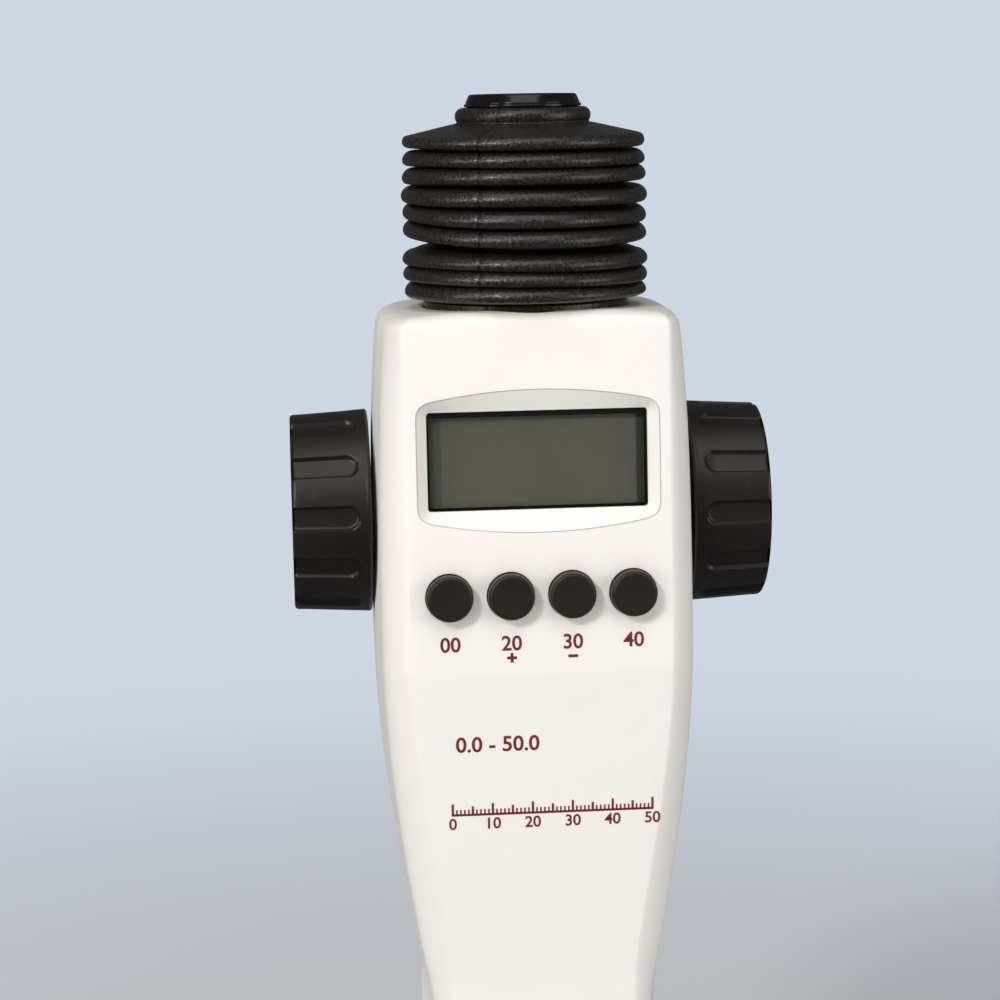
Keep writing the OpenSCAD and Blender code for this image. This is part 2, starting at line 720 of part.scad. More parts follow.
module drive_shaft() color([0.78, 0.79, 0.8]) turned_x(-shaft_end_x, shaft_y, shaft_z) difference() {
    cylinder(h = 2 * shaft_end_x, r = shaft_d / 2);
    for (z = [-over, 2 * shaft_end_x - 10]) translate([0, 0, z])
        cylinder(h = 10 + over, r = wheel_screw[0] + fit);
}

module shaft_bushes() color([0.7, 0.55, 0.3]) both_sides()
    turned_x(half_width(shaft_z) - wall - 1.8, shaft_y, shaft_z) {
        pipe(shaft_d / 2 + bush_t - press, shaft_d / 2 + fit, wall + 1.6);
        pipe(shaft_d / 2 + bush_t + 1.2, shaft_d / 2 + fit, 1);
    }

// Half of a tooth's angle at radius r, for a straight involute gear
function involute(a) = tan(a) * 180 / PI - a;
function tooth_half_angle(r, teeth) = let(rp = tooth_module * teeth / 2, rb = rp * cos(pressure_angle))
    90 / teeth - tooth_play / 2 / rp * 180 / PI + involute(pressure_angle)
    - involute(acos(min(1, rb / r)));
function polar(r, a) = [r * cos(a), r * sin(a)];

// Outline of a spur gear with a tooth centred on the angle turn
module gear_outline(teeth, turn) {
    rp = tooth_module * teeth / 2;
    rb = rp * cos(pressure_angle);
    tip = rp + tooth_module;
    root = rp - 1.25 * tooth_module;
    low = max(rb, root + 0.02);
    flank = [for (i = [0:4]) low + (tip - low) * i / 4];
    polygon([for (k = [0:teeth - 1]) let(c = turn + 360 / teeth * k) each concat(
        [polar(root, c - tooth_half_angle(low, teeth))],
        [for (r = flank) polar(r, c - tooth_half_angle(r, teeth))],
        [for (i = [4:-1:0]) polar(flank[i], c + tooth_half_angle(flank[i], teeth))],
        [polar(root, c + tooth_half_angle(low, teeth))])]);
}

module drive_pinion() color([0.72, 0.6, 0.35]) translate([0, shaft_y, shaft_z]) along_x(gear_x)
    difference() {
        union() {
            linear_extrude(gear_t) gear_outline(pinion_teeth, 90);
            translate([0, 0, gear_t]) cylinder(h = hub_t, r = pinion_r - 0.6);
        }
        translate([0, 0, -over]) cylinder(h = 10, r = shaft_d / 2 + press);
    }

module reduction_gear() color([0.93, 0.91, 0.86]) translate([0, shaft_y, counter_z]) along_x(gear_x)
    difference() {
        union() {
            linear_extrude(gear_t) gear_outline(gear_teeth, -90 + 180 / gear_teeth);
            translate([0, 0, gear_t]) cylinder(h = hub_t, r = gear_hub_r);
        }
        translate([0, 0, -over]) cylinder(h = 10, r = counter_d / 2 + press);
        translate([0, 0, -over]) pipe(gear_r - 2.2, gear_hub_r, over + 1);
    }

module rack_pinion() color([0.72, 0.6, 0.35]) translate([0, shaft_y, counter_z])
    along_x(-rod_w / 2 - 0.2) difference() {
        linear_extrude(rod_w + 0.4) gear_outline(pinion_teeth, 180);
        translate([0, 0, -over]) cylinder(h = 20, r = counter_d / 2 + press);
    }

module counter_shaft() color([0.78, 0.79, 0.8]) turned_x(left_plate_x - 1, shaft_y, counter_z)
    cylinder(h = right_plate_x + plate_t + 1 - left_plate_x + 1, r = counter_d / 2);

module encoder_disc() color([0.2, 0.2, 0.22]) turned_x(encoder_x, shaft_y, shaft_z) difference() {
    union() {
        cylinder(h = encoder_t, r = encoder_r);
        cylinder(h = encoder_t + 3, r = shaft_d / 2 + 2);
    }
    translate([0, 0, -over]) cylinder(h = 10, r = shaft_d / 2 + press);
    for (i = [0:23]) rotate(i * 15) translate([encoder_r - 3, 0, 0]) cube([2.6, 1, 4], center = true);
}

// ---------------------------------------------------------------- gear frame
module frame_plate() difference() {
    translate([frame_front_y, frame_low_z])
        square([frame_back_y - frame_front_y, frame_high_z - frame_low_z]);
    translate([shaft_y, shaft_z]) circle(shaft_d / 2 + fit);
    translate([shaft_y, counter_z]) circle(counter_d / 2 + fit);
}

module gear_frame() color([0.6, 0.62, 0.65]) {
    for (x = [left_plate_x, right_plate_x]) along_x(x) linear_extrude(plate_t) frame_plate();
    difference() {
        slab(left_plate_x + plate_t, right_plate_x, frame_back_y - web_t, frame_back_y,
            frame_low_z, frame_high_z);
        for (z = frame_screw_heights()) along_y(frame_mid_x(), 0, z) cylinder(h = 40, r = 1.2);
    }
}

module frame_screws() color([0.75, 0.75, 0.77]) for (z = frame_screw_heights())
    along_y(frame_mid_x(), frame_back_y - web_t, z) mirror([0, 0, 1]) pan_screw(frame_screw, web_t + 1.8);

// Slide block that keeps the rack against its pinion
module rod_guide() color([0.9, 0.9, 0.86]) difference() {
    slab(left_plate_x + plate_t, right_plate_x, frame_front_y + 0.6, -rod_back - 0.1,
        counter_z - 9, counter_z + 7);
    slab(-rod_w / 2 - 2.5, rod_w / 2 + 2.5, -rod_back - 1.2, 0, counter_z - 4, counter_z + 2);
}

// ---------------------------------------------------------------- rod and piston
// The bar seen from the side, with gaps cut for the teeth over the travel
module rack_outline() {
    slope = tan(pressure_angle);
    gap = tooth_pitch / 4 + tooth_play / 2;
    root = 1.25 * tooth_module;
    count = ceil(stroke / tooth_pitch) + 5;
    polygon(concat([[-rod_back, rod_high_z], [-rod_back, rod_low_z], [rod_tip, rod_low_z]],
        [for (k = [count - 3:-1:-2]) let(z = counter_z - k * tooth_pitch) each [
            [rod_tip, z - gap - tooth_module * slope],
            [rod_tip - tooth_module - root, z - gap + root * slope],
            [rod_tip - tooth_module - root, z + gap - root * slope],
            [rod_tip, z + gap + tooth_module * slope]]],
        [[rod_tip, rod_high_z]]));
}

module rack_rod() color([0.75, 0.76, 0.78]) difference() {
    union() {
        along_x(-rod_w / 2) linear_extrude(rod_w) rack_outline();
        translate([0, 0, rod_low_z - 7]) cylinder(h = 7, r = spigot_r);
    }
    translate([0, 0, rod_high_z - 15]) cylinder(h = 16, r = rod_screw[0] + fit);
}

module piston() color([0.95, 0.95, 0.96]) translate([0, 0, piston_z]) difference() {
    rotate_extrude() polygon([[0, 0], [piston_r - 0.8, 0], [piston_r, 0.8], [piston_r, piston_h * 0.3],
        [piston_r - 2, piston_h * 0.3], [piston_r - 2, piston_h * 0.7], [piston_r, piston_h * 0.7],
        [piston_r, piston_h], [0, piston_h]]);
    translate([0, 0, piston_h - 7.2]) cylinder(h = 10, r = spigot_r + press);
}

module piston_seal() color([0.2, 0.22, 0.24]) translate([0, 0, piston_z + piston_h * 0.3 + 0.05])
    rotate_extrude() polygon([[piston_r - 1.95, 0], [glass_r - fit, 0.3], [glass_r - fit, 1.2],
        [piston_r - 0.4, 1.9], [glass_r - fit, 3], [glass_r - fit, piston_h * 0.4 - 0.3],
        [piston_r - 1.95, piston_h * 0.4 - 0.1]]);

// ---------------------------------------------------------------- bellows
// Outer points of fold k: root, sloped flank, blunt rounded tip, flank
function fold_outside(k) = let(z = fold_z(k)) [[root_r, z - fold_pitch / 2 + 0.1],
    [fold_tip_r - 1.1, z - 1.3], [fold_tip_r - 0.3, z - 0.9], [fold_tip_r, z],
    [fold_tip_r - 0.3, z + 0.9], [fold_tip_r - 1.1, z + 1.3], [root_r, z + fold_pitch / 2 - 0.1]];
function fold_inside(k) = let(z = fold_z(k)) [[root_r - skin, z + fold_pitch / 2 - 0.1],
    [fold_tip_r - skin - 1, z + 0.35], [fold_tip_r - skin - 1, z - 0.35],
    [root_r - skin, z - fold_pitch / 2 + 0.1]];

module bellows() color([0.15, 0.13, 0.12]) difference() {
    bellows_skin();
    ring_screw_places() translate([0, 0, foot_z - over]) cylinder(h = foot_t + 2 * over, r = 1.2);
}

module bellows_skin() rotate_extrude() polygon(concat(
    [[ring_r - 7, foot_z], [foot_d / 2, foot_z], [foot_d / 2, foot_z + foot_t],
        [root_r, foot_z + foot_t + 0.6]],
    [for (k = [0:fold_count - 1]) each fold_outside(k)],
    [[fold_tip_r - 1.1, last_fold_z + 1.9], [grip_r + 1, grip_z - 0.2], [grip_r - 0.5, grip_z],
        [grip_r, grip_z + 0.8], [grip_r, grip_z + grip_h - 1.1], [grip_r - 1, grip_z + grip_h - 0.1],
        [cap_groove_r + fit, grip_z + grip_h - 0.1], [cap_groove_r + fit, grip_z + 0.1],
        [cap_flange_r + 0.3, grip_z + 0.1], [cap_flange_r + 0.5, cap_flange_z],
        [root_r - skin, last_fold_z + fold_pitch / 2]],
    [for (k = [fold_count - 1:-1:0]) each fold_inside(k)],
    [[root_r - skin, foot_z + foot_t], [ring_r - 7, foot_z + foot_t]]));

module bellows_cap() color([0.1, 0.09, 0.09]) rotate_extrude() polygon([[rod_screw[0] + 0.2, cap_flange_z],
    [cap_flange_r, cap_flange_z], [cap_flange_r, grip_z - 0.1], [cap_groove_r, grip_z],
    [cap_groove_r, grip_z + grip_h], [cap_r, grip_z + grip_h + 0.1], [cap_r, grip_z + grip_h + 1.4],
    [cap_r - 0.9, grip_z + grip_h + 2.1], [cap_r - 1.5, cap_top_z], [cap_r - 2.6, cap_top_z],
    [cap_r - 3.4, cap_top_z - 1], [4.6, cap_top_z - 1], [4.6, cap_seat_z],
    [rod_screw[0] + 0.2, cap_seat_z]]);

module cap_screw() color([0.75, 0.75, 0.77]) translate([0, 0, cap_seat_z])
    pan_screw(rod_screw, cap_seat_z - cap_flange_z + rod_screw_bite);

module bellows_ring() color([0.8, 0.8, 0.82]) difference() {
    translate([0, 0, ring_z]) pipe(ring_r, ring_r - 6.4, ring_t);
    ring_screw_places() translate([0, 0, ring_z - over]) cylinder(h = 5, r = 1.2);
}

module ring_screws() color([0.75, 0.75, 0.77]) ring_screw_places()
    translate([0, 0, ring_z + ring_t]) pan_screw(foot_screw, ring_t + foot_t + 4);

// ---------------------------------------------------------------- measuring cylinder
module glass_cylinder() color([0.8, 0.88, 0.9, 0.4]) translate([0, 0, glass_base_z])
    pipe(glass_out_r, glass_r, glass_h);

module cylinder_gasket() color([0.2, 0.2, 0.22]) translate([0, 0, glass_base_z - gasket_t])
    pipe(glass_out_r, glass_r + 0.1, gasket_t);

module cylinder_head() color([0.85, 0.85, 0.87]) difference() {
    union() {
        translate([0, 0, head_flange_z])
            cylinder(h = glass_base_z - gasket_t - head_flange_z, r = head_flange_r);
        translate([0, 0, socket_z]) cylinder(h = head_flange_z - socket_z, r = head_neck_r);
    }
    cylinder(h = 100, r = seat_r);
}

// ---------------------------------------------------------------- valve block
module valve_block() color([0.9, 0.9, 0.91]) difference() {
    union() {
        translate([0, 0, block_low_z]) rotate_extrude() polygon([[0, 0], [block_r - 1, 0], [block_r, 1],
            [block_r, block_top_z - block_low_z - 1], [block_r - 1, block_top_z - block_low_z],
            [0, block_top_z - block_low_z]]);
        translate([0, 0, flange_z]) cylinder(h = block_low_z - flange_z + 0.1, r = block_neck_r);
        translate([0, 0, flange_z]) cylinder(h = flange_t, r = neck_flange_r);
        along_y(0, outlet_y, outlet_z) cylinder(h = 10, r = outlet_r);
    }
    translate([0, 0, socket_z]) cylinder(h = 20, r = head_neck_r + fit);
    translate([0, 0, suction_seat_z]) cylinder(h = cage_h, r = cage_r);
    translate([0, 0, flange_z]) cylinder(h = 60, r = seat_r);
    translate([0, 0, flange_z - over]) cylinder(h = nipple_h + over, r = nipple_r + press);
    along_y(0, discharge_y, valve_z) cylinder(h = -discharge_y, r = channel_r);
    translate([0, discharge_y, valve_z]) cylinder(h = 4, r = seat_r);
    translate([0, discharge_y, discharge_seat_z]) cylinder(h = cage_h, r = cage_r);
    along_y(0, outlet_y - over, outlet_z) cylinder(h = discharge_y - outlet_y + over, r = channel_r);
    turned_x(-5, valve_y, valve_z) cylinder(h = 60, r = valve_plug_r + fit);
    along_y(0, block_r - 6, bridge_z) cylinder(h = 20, r = vent_r + press);
}

module inlet_nipple() color([0.95, 0.95, 0.96]) translate([0, 0, flange_z])
    pipe(nipple_r, nipple_bore_r, nipple_h);

module suction_ball() color([0.9, 0.9, 0.92]) translate([0, 0, suction_ball_z]) sphere(r = ball_r);
module discharge_ball() color([0.9, 0.9, 0.92]) translate([0, discharge_y, discharge_ball_z])
    sphere(r = ball_r);

// Plug of the recirculation valve with its lever knob
module valve_knob() color([0.55, 0.12, 0.12]) difference() {
    union() {
        turned_x(-4.6, valve_y, valve_z) cylinder(h = valve_knob_x + 4.6 + 1, r = valve_plug_r);
        turned_x(valve_knob_x, valve_y, valve_z) rotate_extrude() polygon([[0, 0], [7.4, 0], [8, 0.6],
            [8, 5.4], [7.2, 6.2], [0, 6.2]]);
        slab(valve_knob_x + 6, valve_knob_x + 13, valve_y - 1.6, valve_y + 1.6,
            valve_z - lever_r, valve_z + lever_r);
    }
    along_y(0, valve_y - 6, valve_z) cylinder(h = 12, r = channel_r);
}

module vent_plug() color([0.3, 0.3, 0.32]) along_y(0, block_r - 5, bridge_z) difference() {
    union() {
        cylinder(h = 6, r = vent_r);
        translate([0, 0, 5.4]) cylinder(h = 2.6, r = vent_r + 1.6);
    }
    translate([0, 0, 1]) cylinder(h = 10, r = 1);
}

// Tube in front: straight run, bend and drop; the bore runs past both ends
module tube_path(r, past) {
    run_y = tube_reach - bend_r;
    along_y(0, -run_y, outlet_z) cylinder(h = run_y + outlet_y - 0.2 + past, r = r);
    translate([0, -run_y, outlet_z - bend_r]) rotate([90, 0, 90]) rotate([0, 0, 90])
        rotate_extrude(angle = 90) translate([bend_r, 0]) circle(r);
    translate([0, -tube_reach, tube_end_z - past])
        cylinder(h = outlet_z - bend_r - tube_end_z + past, r = r);
}

module discharge_tube() color([0.9, 0.93, 0.95, 0.7]) difference() {
    tube_path(tube_r, 0);
    tube_path(tube_bore_r, over);
}

module tube_nut() color([0.3, 0.3, 0.32]) along_y(0, outlet_y - 7, outlet_z) difference() {
    union() {
        cylinder(h = 12, r = nut_r - 1);
        for (i = [0:11]) rotate(i * 30) translate([nut_r - 1, 0, 1]) cylinder(h = 10, r = 0.9);
    }
    translate([0, 0, 7]) cylinder(h = 10, r = outlet_r + fit);
    translate([0, 0, -over]) cylinder(h = 20, r = tube_r + fit);
}

module tip_cap() color([0.55, 0.12, 0.12]) translate([0, -tube_reach, tube_end_z - 4]) difference() {
    rotate_extrude()
        polygon([[0, 0], [tip_cap_r - 0.8, 0], [tip_cap_r, 0.8], [tip_cap_r - 0.6, 14], [0, 14]]);
    translate([0, 0, 3.8]) cylinder(h = 20, r = tube_r + fit);
}

// ---------------------------------------------------------------- bottle collar
module bottle_collar() color([0.25, 0.25, 0.27]) difference() {
    union() {
        rotate_extrude() polygon([[0, 0], [collar_d / 2 - 1.6, 0], [collar_d / 2 - 0.9, 0.8],
            [collar_d / 2 - 0.9, collar_h - 1.6], [collar_d / 2 - 2.4, collar_h], [0, collar_h]]);
        for (i = [0:23]) rotate(i * 15) translate([collar_d / 2 - 1.4, 0, 1.4])
            cylinder(h = collar_h - 4, r = 1.4);
    }
    translate([0, 0, -over]) cylinder(h = flange_z + over, r = neck_r);
    translate([0, 0, thread_h]) cylinder(h = flange_z + flange_t + loose - thread_h, r = neck_r + 0.4);
    cylinder(h = 60, r = block_neck_r + loose);
}

module collar_gasket() color([0.85, 0.85, 0.86]) translate([0, 0, flange_z - neck_gasket_t])
    pipe(neck_flange_r, 9, neck_gasket_t);

front_shell();
rear_shell();
battery_cover();
housing_screws();
display_window();
lcd_panel();
lcd_frame();
zebra_strips();
circuit_board();
board_components();
tact_switches();
opto_sensor();
board_screws();
batteries();
battery_contacts();
key_reset();
key_plus();
key_minus();
key_memory();
handwheel_left();
handwheel_right();
wheel_caps();
wheel_screws();
drive_shaft();
shaft_bushes();
drive_pinion();
encoder_disc();
reduction_gear();
counter_shaft();
rack_pinion();
gear_frame();
frame_screws();
rod_guide();
rack_rod();
piston();
piston_seal();
bellows();
bellows_cap();
cap_screw();
bellows_ring();
ring_screws();
glass_cylinder();
cylinder_gasket();
cylinder_head();
valve_block();
inlet_nipple();
suction_ball();
discharge_ball();
valve_knob();
vent_plug();
discharge_tube();
tube_nut();
tip_cap();
bottle_collar();
collar_gasket();
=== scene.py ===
"""A hand driven digital burette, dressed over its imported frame.

The housing, its display and keys, both handwheels, the bellows and the valve block each have a
class. Sizes in the classes are in millimetres; they become metres when a mesh is made.
"""
from __future__ import annotations

import logging
import math
from dataclasses import dataclass, field
from enum import Enum
from functools import lru_cache
from typing import Callable, Sequence, Union

import bpy
import bmesh
import numpy as np
from mathutils import Matrix, Vector


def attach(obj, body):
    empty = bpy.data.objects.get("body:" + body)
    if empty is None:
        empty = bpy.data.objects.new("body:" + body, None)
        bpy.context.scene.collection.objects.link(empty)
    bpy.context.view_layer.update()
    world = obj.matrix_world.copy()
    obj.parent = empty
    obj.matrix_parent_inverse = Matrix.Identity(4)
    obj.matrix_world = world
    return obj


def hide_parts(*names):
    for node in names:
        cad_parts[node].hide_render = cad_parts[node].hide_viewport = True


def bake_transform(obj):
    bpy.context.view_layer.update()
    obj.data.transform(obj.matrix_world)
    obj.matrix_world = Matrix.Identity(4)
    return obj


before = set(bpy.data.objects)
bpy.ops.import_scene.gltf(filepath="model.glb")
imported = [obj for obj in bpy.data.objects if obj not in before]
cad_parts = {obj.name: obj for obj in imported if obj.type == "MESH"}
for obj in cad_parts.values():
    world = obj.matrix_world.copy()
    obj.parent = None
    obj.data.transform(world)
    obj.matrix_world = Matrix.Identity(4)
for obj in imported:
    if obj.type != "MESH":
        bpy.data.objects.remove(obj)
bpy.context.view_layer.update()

LOG = logging.getLogger("burette")
MM = 0.001
FULL_TURN = 2 * math.pi
SEAM_TURN = math.radians(243.5)
Array = np.ndarray
Colour = tuple[float, float, float]


# ------------------------------------------------------------------ shader graph
class Field:
    """A shader value that can stand in sums, bound to the graph that holds it."""

    def __init__(self, graph: "Graph", socket: bpy.types.NodeSocket) -> None:
        """Keeps the output socket.

        Args:
            graph: the material's graph.
            socket: the output that carries the value.
        """
        self.graph = graph
        self.socket = socket

    def _join(self, operation: str, other: Value, turned: bool = False) -> "Field":
        """A Math node of this value and another.

        Args:
            operation: the Math node's operation.
            other: the second value.
            turned: puts the other value first.

        Returns:
            The node's result.
        """
        first, second = (other, self) if turned else (self, other)
        return self.graph.node("ShaderNodeMath", {"operation": operation}, {0: first, 1: second})

    def __add__(self, other: Value) -> "Field":
        """Sum."""
        return self._join("ADD", other)

    def __radd__(self, other: Value) -> "Field":
        """Sum with a number in front."""
        return self._join("ADD", other, True)

    def __sub__(self, other: Value) -> "Field":
        """Difference."""
        return self._join("SUBTRACT", other)

    def __rsub__(self, other: Value) -> "Field":
        """Difference from a number."""
        return self._join("SUBTRACT", other, True)

    def __mul__(self, other: Value) -> "Field":
        """Product."""
        return self._join("MULTIPLY", other)

    def __rmul__(self, other: Value) -> "Field":
        """Product with a number in front."""
        return self._join("MULTIPLY", other, True)

    def __truediv__(self, other: Value) -> "Field":
        """Quotient."""
        return self._join("DIVIDE", other)

    def __rtruediv__(self, other: Value) -> "Field":
        """A number divided by this value."""
        return self._join("DIVIDE", other, True)

    def fract(self) -> "Field":
        """What is left of the value over its whole part."""
        return self.graph.node("ShaderNodeMath", {"operation": "FRACT"}, {0: self})

    def size(self) -> "Field":
        """The value without its sign."""
        return self.graph.node("ShaderNodeMath", {"operation": "ABSOLUTE"}, {0: self})

    def power(self, exponent: Value) -> "Field":
        """This value to a power."""
        return self._join("POWER", exponent)

    def above(self, edge: Value) -> "Field":
        """1 where the value is over the edge, 0 elsewhere."""
        return self._join("GREATER_THAN", edge)

    def ramp(self, low: float, high: float) -> "Field":
        """0 under low, 1 over high, and a soft step between them.

        Args:
            low: where the step starts.
            high: where it ends.

        Returns:
            The stepped value.
        """
        return self.graph.node("ShaderNodeMapRange", {"interpolation_type": "SMOOTHSTEP"},
                               {0: self, 1: low, 2: high, 3: 0.0, 4: 1.0})


Value = Union[Field, float, Sequence[float]]


class Graph:
    """The node graph of one material or world, filled by a single node-making method."""

    def __init__(self, owner: bpy.types.Material | bpy.types.World) -> None:
        """Empties the owner's graph.

        Args:
            owner: the material or world.
        """
        owner.use_nodes = True
        self.tree = owner.node_tree
        self.tree.nodes.clear()

    def node(self, kind: str, settings: dict[str, object] | None = None,
             inputs: dict[int | str, Value] | None = None, output: int | str = 0) -> Field:
        """Adds one node.

        Args:
            kind: the node's type.
            settings: the node's own settings, set first.
            inputs: the values or links of its sockets.
            output: the output that is handed back.

        Returns:
            The chosen output.
        """
        made = self.tree.nodes.new(kind)
        for key, value in (settings or {}).items():
            setattr(made, key, value)
        for key, value in (inputs or {}).items():
            if isinstance(value, Field):
                self.tree.links.new(value.socket, made.inputs[key])
            else:
                made.inputs[key].default_value = value
        return Field(self, made.outputs[output]) if made.outputs else Field(self, None)

    def place(self) -> Field:
        """Object coordinates, in metres."""
        return self.node("ShaderNodeTexCoord", output="Object")

    def axis(self, index: int) -> Field:
        """One of the object coordinates, in millimetres."""
        return self.node("ShaderNodeSeparateXYZ", {}, {0: self.place()}, index) / MM

    def radius(self) -> Field:
        """Distance from the rod's axis, in millimetres."""
        return (self.axis(0).power(2.0) + self.axis(1).power(2.0)).power(0.5)

    def noise(self, size_mm: float, detail: float = 2.0, stretch: Colour = (1, 1, 1)) -> Field:
        """Smooth noise from 0 to 1.

        Args:
            size_mm: the size of its spots.
            detail: how many finer layers are added.
            stretch: scale along each axis.

        Returns:
            The noise.
        """
        spot = self.node("ShaderNodeMapping", {}, {"Vector": self.place(), "Scale": stretch})
        return self.node("ShaderNodeTexNoise", {},
                         {"Vector": spot, "Scale": 1 / (size_mm * MM), "Detail": detail})

    def blend(self, first: Value, second: Value, share: Value) -> Field:
        """A colour between two colours.

        Args:
            first: the colour at share 0.
            second: the colour at share 1.
            share: the share of the second colour.

        Returns:
            The mixed colour.
        """
        pair = [c if isinstance(c, Field) else (*c, 1.0) for c in (first, second)]
        return self.node("ShaderNodeMix", {"data_type": "RGBA"},
                         {0: share, 6: pair[0], 7: pair[1]}, 2)

    def bump(self, height: Field, depth_mm: float, strength: float = 1.0) -> Field:
        """A normal bent by a height field.

        Args:
            height: the height, from 0 to 1.
            depth_mm: what a height of 1 stands for.
            strength: share of the effect.

        Returns:
            The normal.
        """
        return self.node("ShaderNodeBump", {}, {"Height": height, "Distance": depth_mm * MM,
                                                "Strength": strength})

    def close(self, sockets: dict[str, Value]) -> None:
        """Ends the graph in a Principled shader with these sockets."""
        self.node("ShaderNodeOutputMaterial", {},
                  {"Surface": self.node("ShaderNodeBsdfPrincipled", {}, sockets)})

    def ray(self, kind: str) -> Field:
        """1 for rays of a kind: Camera, Glossy or Transmission."""
        return self.node("ShaderNodeLightPath", output=f"Is {kind} Ray")

    def seen(self) -> Field:
        """1 for what the camera sees, straight on or through glass, and 0 for what lights a piece
        or shows in its gloss."""
        return self.node("ShaderNodeMath", {"operation": "MINIMUM"},
                         {0: self.ray("Camera") + self.ray("Transmission"), 1: 1.0})


# ------------------------------------------------------------------ finishes
class Grain(Enum):
    """How a mould was textured: spot size in mm and relief in mm."""

    FINE = (0.42, 0.005)
    SPARK = (0.36, 0.03)
    SATIN = (0.9, 0.003)
    POLISHED = (2.5, 0.001)


@dataclass(frozen=True)
class Finish:
    """What every finish has: a name, the record's slot, a colour and a roughness."""

    name: str
    slot: str
    colour: Colour
    rough: float = 0.5

    def sockets(self, graph: Graph) -> dict[str, Value]:
        """The values of the Principled shader.

        Args:
            graph: the graph that the nodes go into; not used here.

        Returns:
            Socket names and their values.
        """
        return {"Base Color": (*self.colour, 1.0), "Roughness": self.rough}


@dataclass(frozen=True)
class Plastic(Finish):
    """Moulded plastic: grain, faint flow clouds in its colour and patches of polish."""

    grain: Grain = Grain.FINE
    cloud: float = 0.03
    gloss: float = 0.5
    scuff: float = 0.0
    scuff_colour: Colour = (0.5, 0.5, 0.5)

    def sockets(self, graph: Graph) -> dict[str, Value]:
        """Grained plastic with clouds and scuffs.

        Args:
            graph: the graph that the nodes go into.

        Returns:
            Socket names and their values.
        """
        spot, relief = self.grain.value
        fine = graph.noise(spot, 2.0)
        cloud = graph.noise(17.0, 3.0)
        dull = tuple(c * (1 - self.cloud) for c in self.colour)
        colour = graph.blend(self.colour, dull, cloud.ramp(0.35, 0.7))
        rough = self.rough + (cloud - 0.5) * 0.1 + (fine - 0.5) * 0.08
        if self.scuff:
            worn = graph.noise(1.3, 4.0, (1, 1, 0.35)).ramp(0.6, 0.74) * self.scuff
            colour = graph.blend(colour, self.scuff_colour, worn)
            rough = rough + worn * 0.3
        return {"Base Color": colour, "Roughness": rough, "Specular IOR Level": self.gloss,
                "Normal": graph.bump(fine, relief)}


@dataclass(frozen=True)
class Rubber(Finish):
    """Soft rubber: bloom kept to what stands out, so it stays dark between the folds as painted
    shade, a pitted skin and the thin seam that a mould in two halves leaves."""

    # Radii over which the bloom fades in; nearer the axis the rubber is left dark as painted shade
    # between the folds.
    shade_inner_mm: float = 0.0
    shade_outer_mm: float = 0.0
    bloom: Colour = (0.05, 0.045, 0.04)
    pit_mm: float = 0.02
    gloss: float = 0.5
    speckle: float = 1.3
    seam_turn: float | None = None

    def sockets(self, graph: Graph) -> dict[str, Value]:
        """Rubber with bloom towards the rim and painted shade towards the roots.

        Args:
            graph: the graph that the nodes go into.

        Returns:
            Socket names and their values.
        """
        pits = graph.noise(0.55, 2.0).ramp(0.4, 0.66)
        patch = graph.noise(7.0, 3.0, (1, 1, 2.2))
        share = patch.ramp(0.35, 0.75) * 0.55
        # Painted shade: no bloom near the axis, so the roots between the folds render darker and
        # the fold tips lighter.
        if self.shade_outer_mm:
            share = share * graph.radius().ramp(self.shade_inner_mm, self.shade_outer_mm)
        dust = graph.noise(0.4, 1.0).ramp(0.77, 0.8) * 0.6
        speckle = tuple(min(0.8, c * self.speckle) for c in self.bloom)
        colour = graph.blend(graph.blend(self.colour, self.bloom, share), speckle, pits * 0.6)
        colour = graph.blend(colour, (0.3, 0.28, 0.26), dust)
        rough = self.rough + (patch - 0.5) * 0.12 + dust * 0.2
        height = pits
        if self.seam_turn is not None:
            off = (graph.axis(0) * -math.sin(self.seam_turn)
                   + graph.axis(1) * math.cos(self.seam_turn)).size()
            seam = 1.0 - off.ramp(0.1, 0.24)
            colour = graph.blend(colour, tuple(c * 0.2 for c in self.colour), seam * 0.85)
            height = pits - seam * 2.0
        return {"Base Color": colour, "Roughness": rough, "Specular IOR Level": self.gloss,
                "Normal": graph.bump(height, self.pit_mm)}


@dataclass(frozen=True)
class Metal(Finish):
    """Bare metal with turning or brushing marks along one axis."""

    stretch: Colour = (1, 1, 12)

    def sockets(self, graph: Graph) -> dict[str, Value]:
        """Metal with marks.

        Args:
            graph: the graph that the nodes go into.

        Returns:
            Socket names and their values.
        """
        marks = graph.noise(0.5, 3.0, self.stretch)
        dull = tuple(c * 0.82 for c in self.colour)
        return {"Base Color": graph.blend(dull, self.colour, marks), "Metallic": 1.0,
                "Roughness": self.rough + (marks - 0.5) * 0.25, "Normal": graph.bump(marks, 0.002)}


@dataclass(frozen=True)
class Clear(Finish):
    """Clear plastic or glass, with faint smears in its polish."""

    alpha: float = 0.2

    def sockets(self, graph: Graph) -> dict[str, Value]:
        """A clear polished skin.

        Args:
            graph: the graph that the nodes go into.

        Returns:
            Socket names and their values.
        """
        smear = graph.noise(6.0, 3.0, (1, 1, 0.4))
        return {"Base Color": (*self.colour, 1.0), "Alpha": self.alpha + (smear - 0.5) * 0.04,
                "Roughness": self.rough + (smear - 0.5) * 0.06, "Normal": graph.bump(smear, 0.001)}


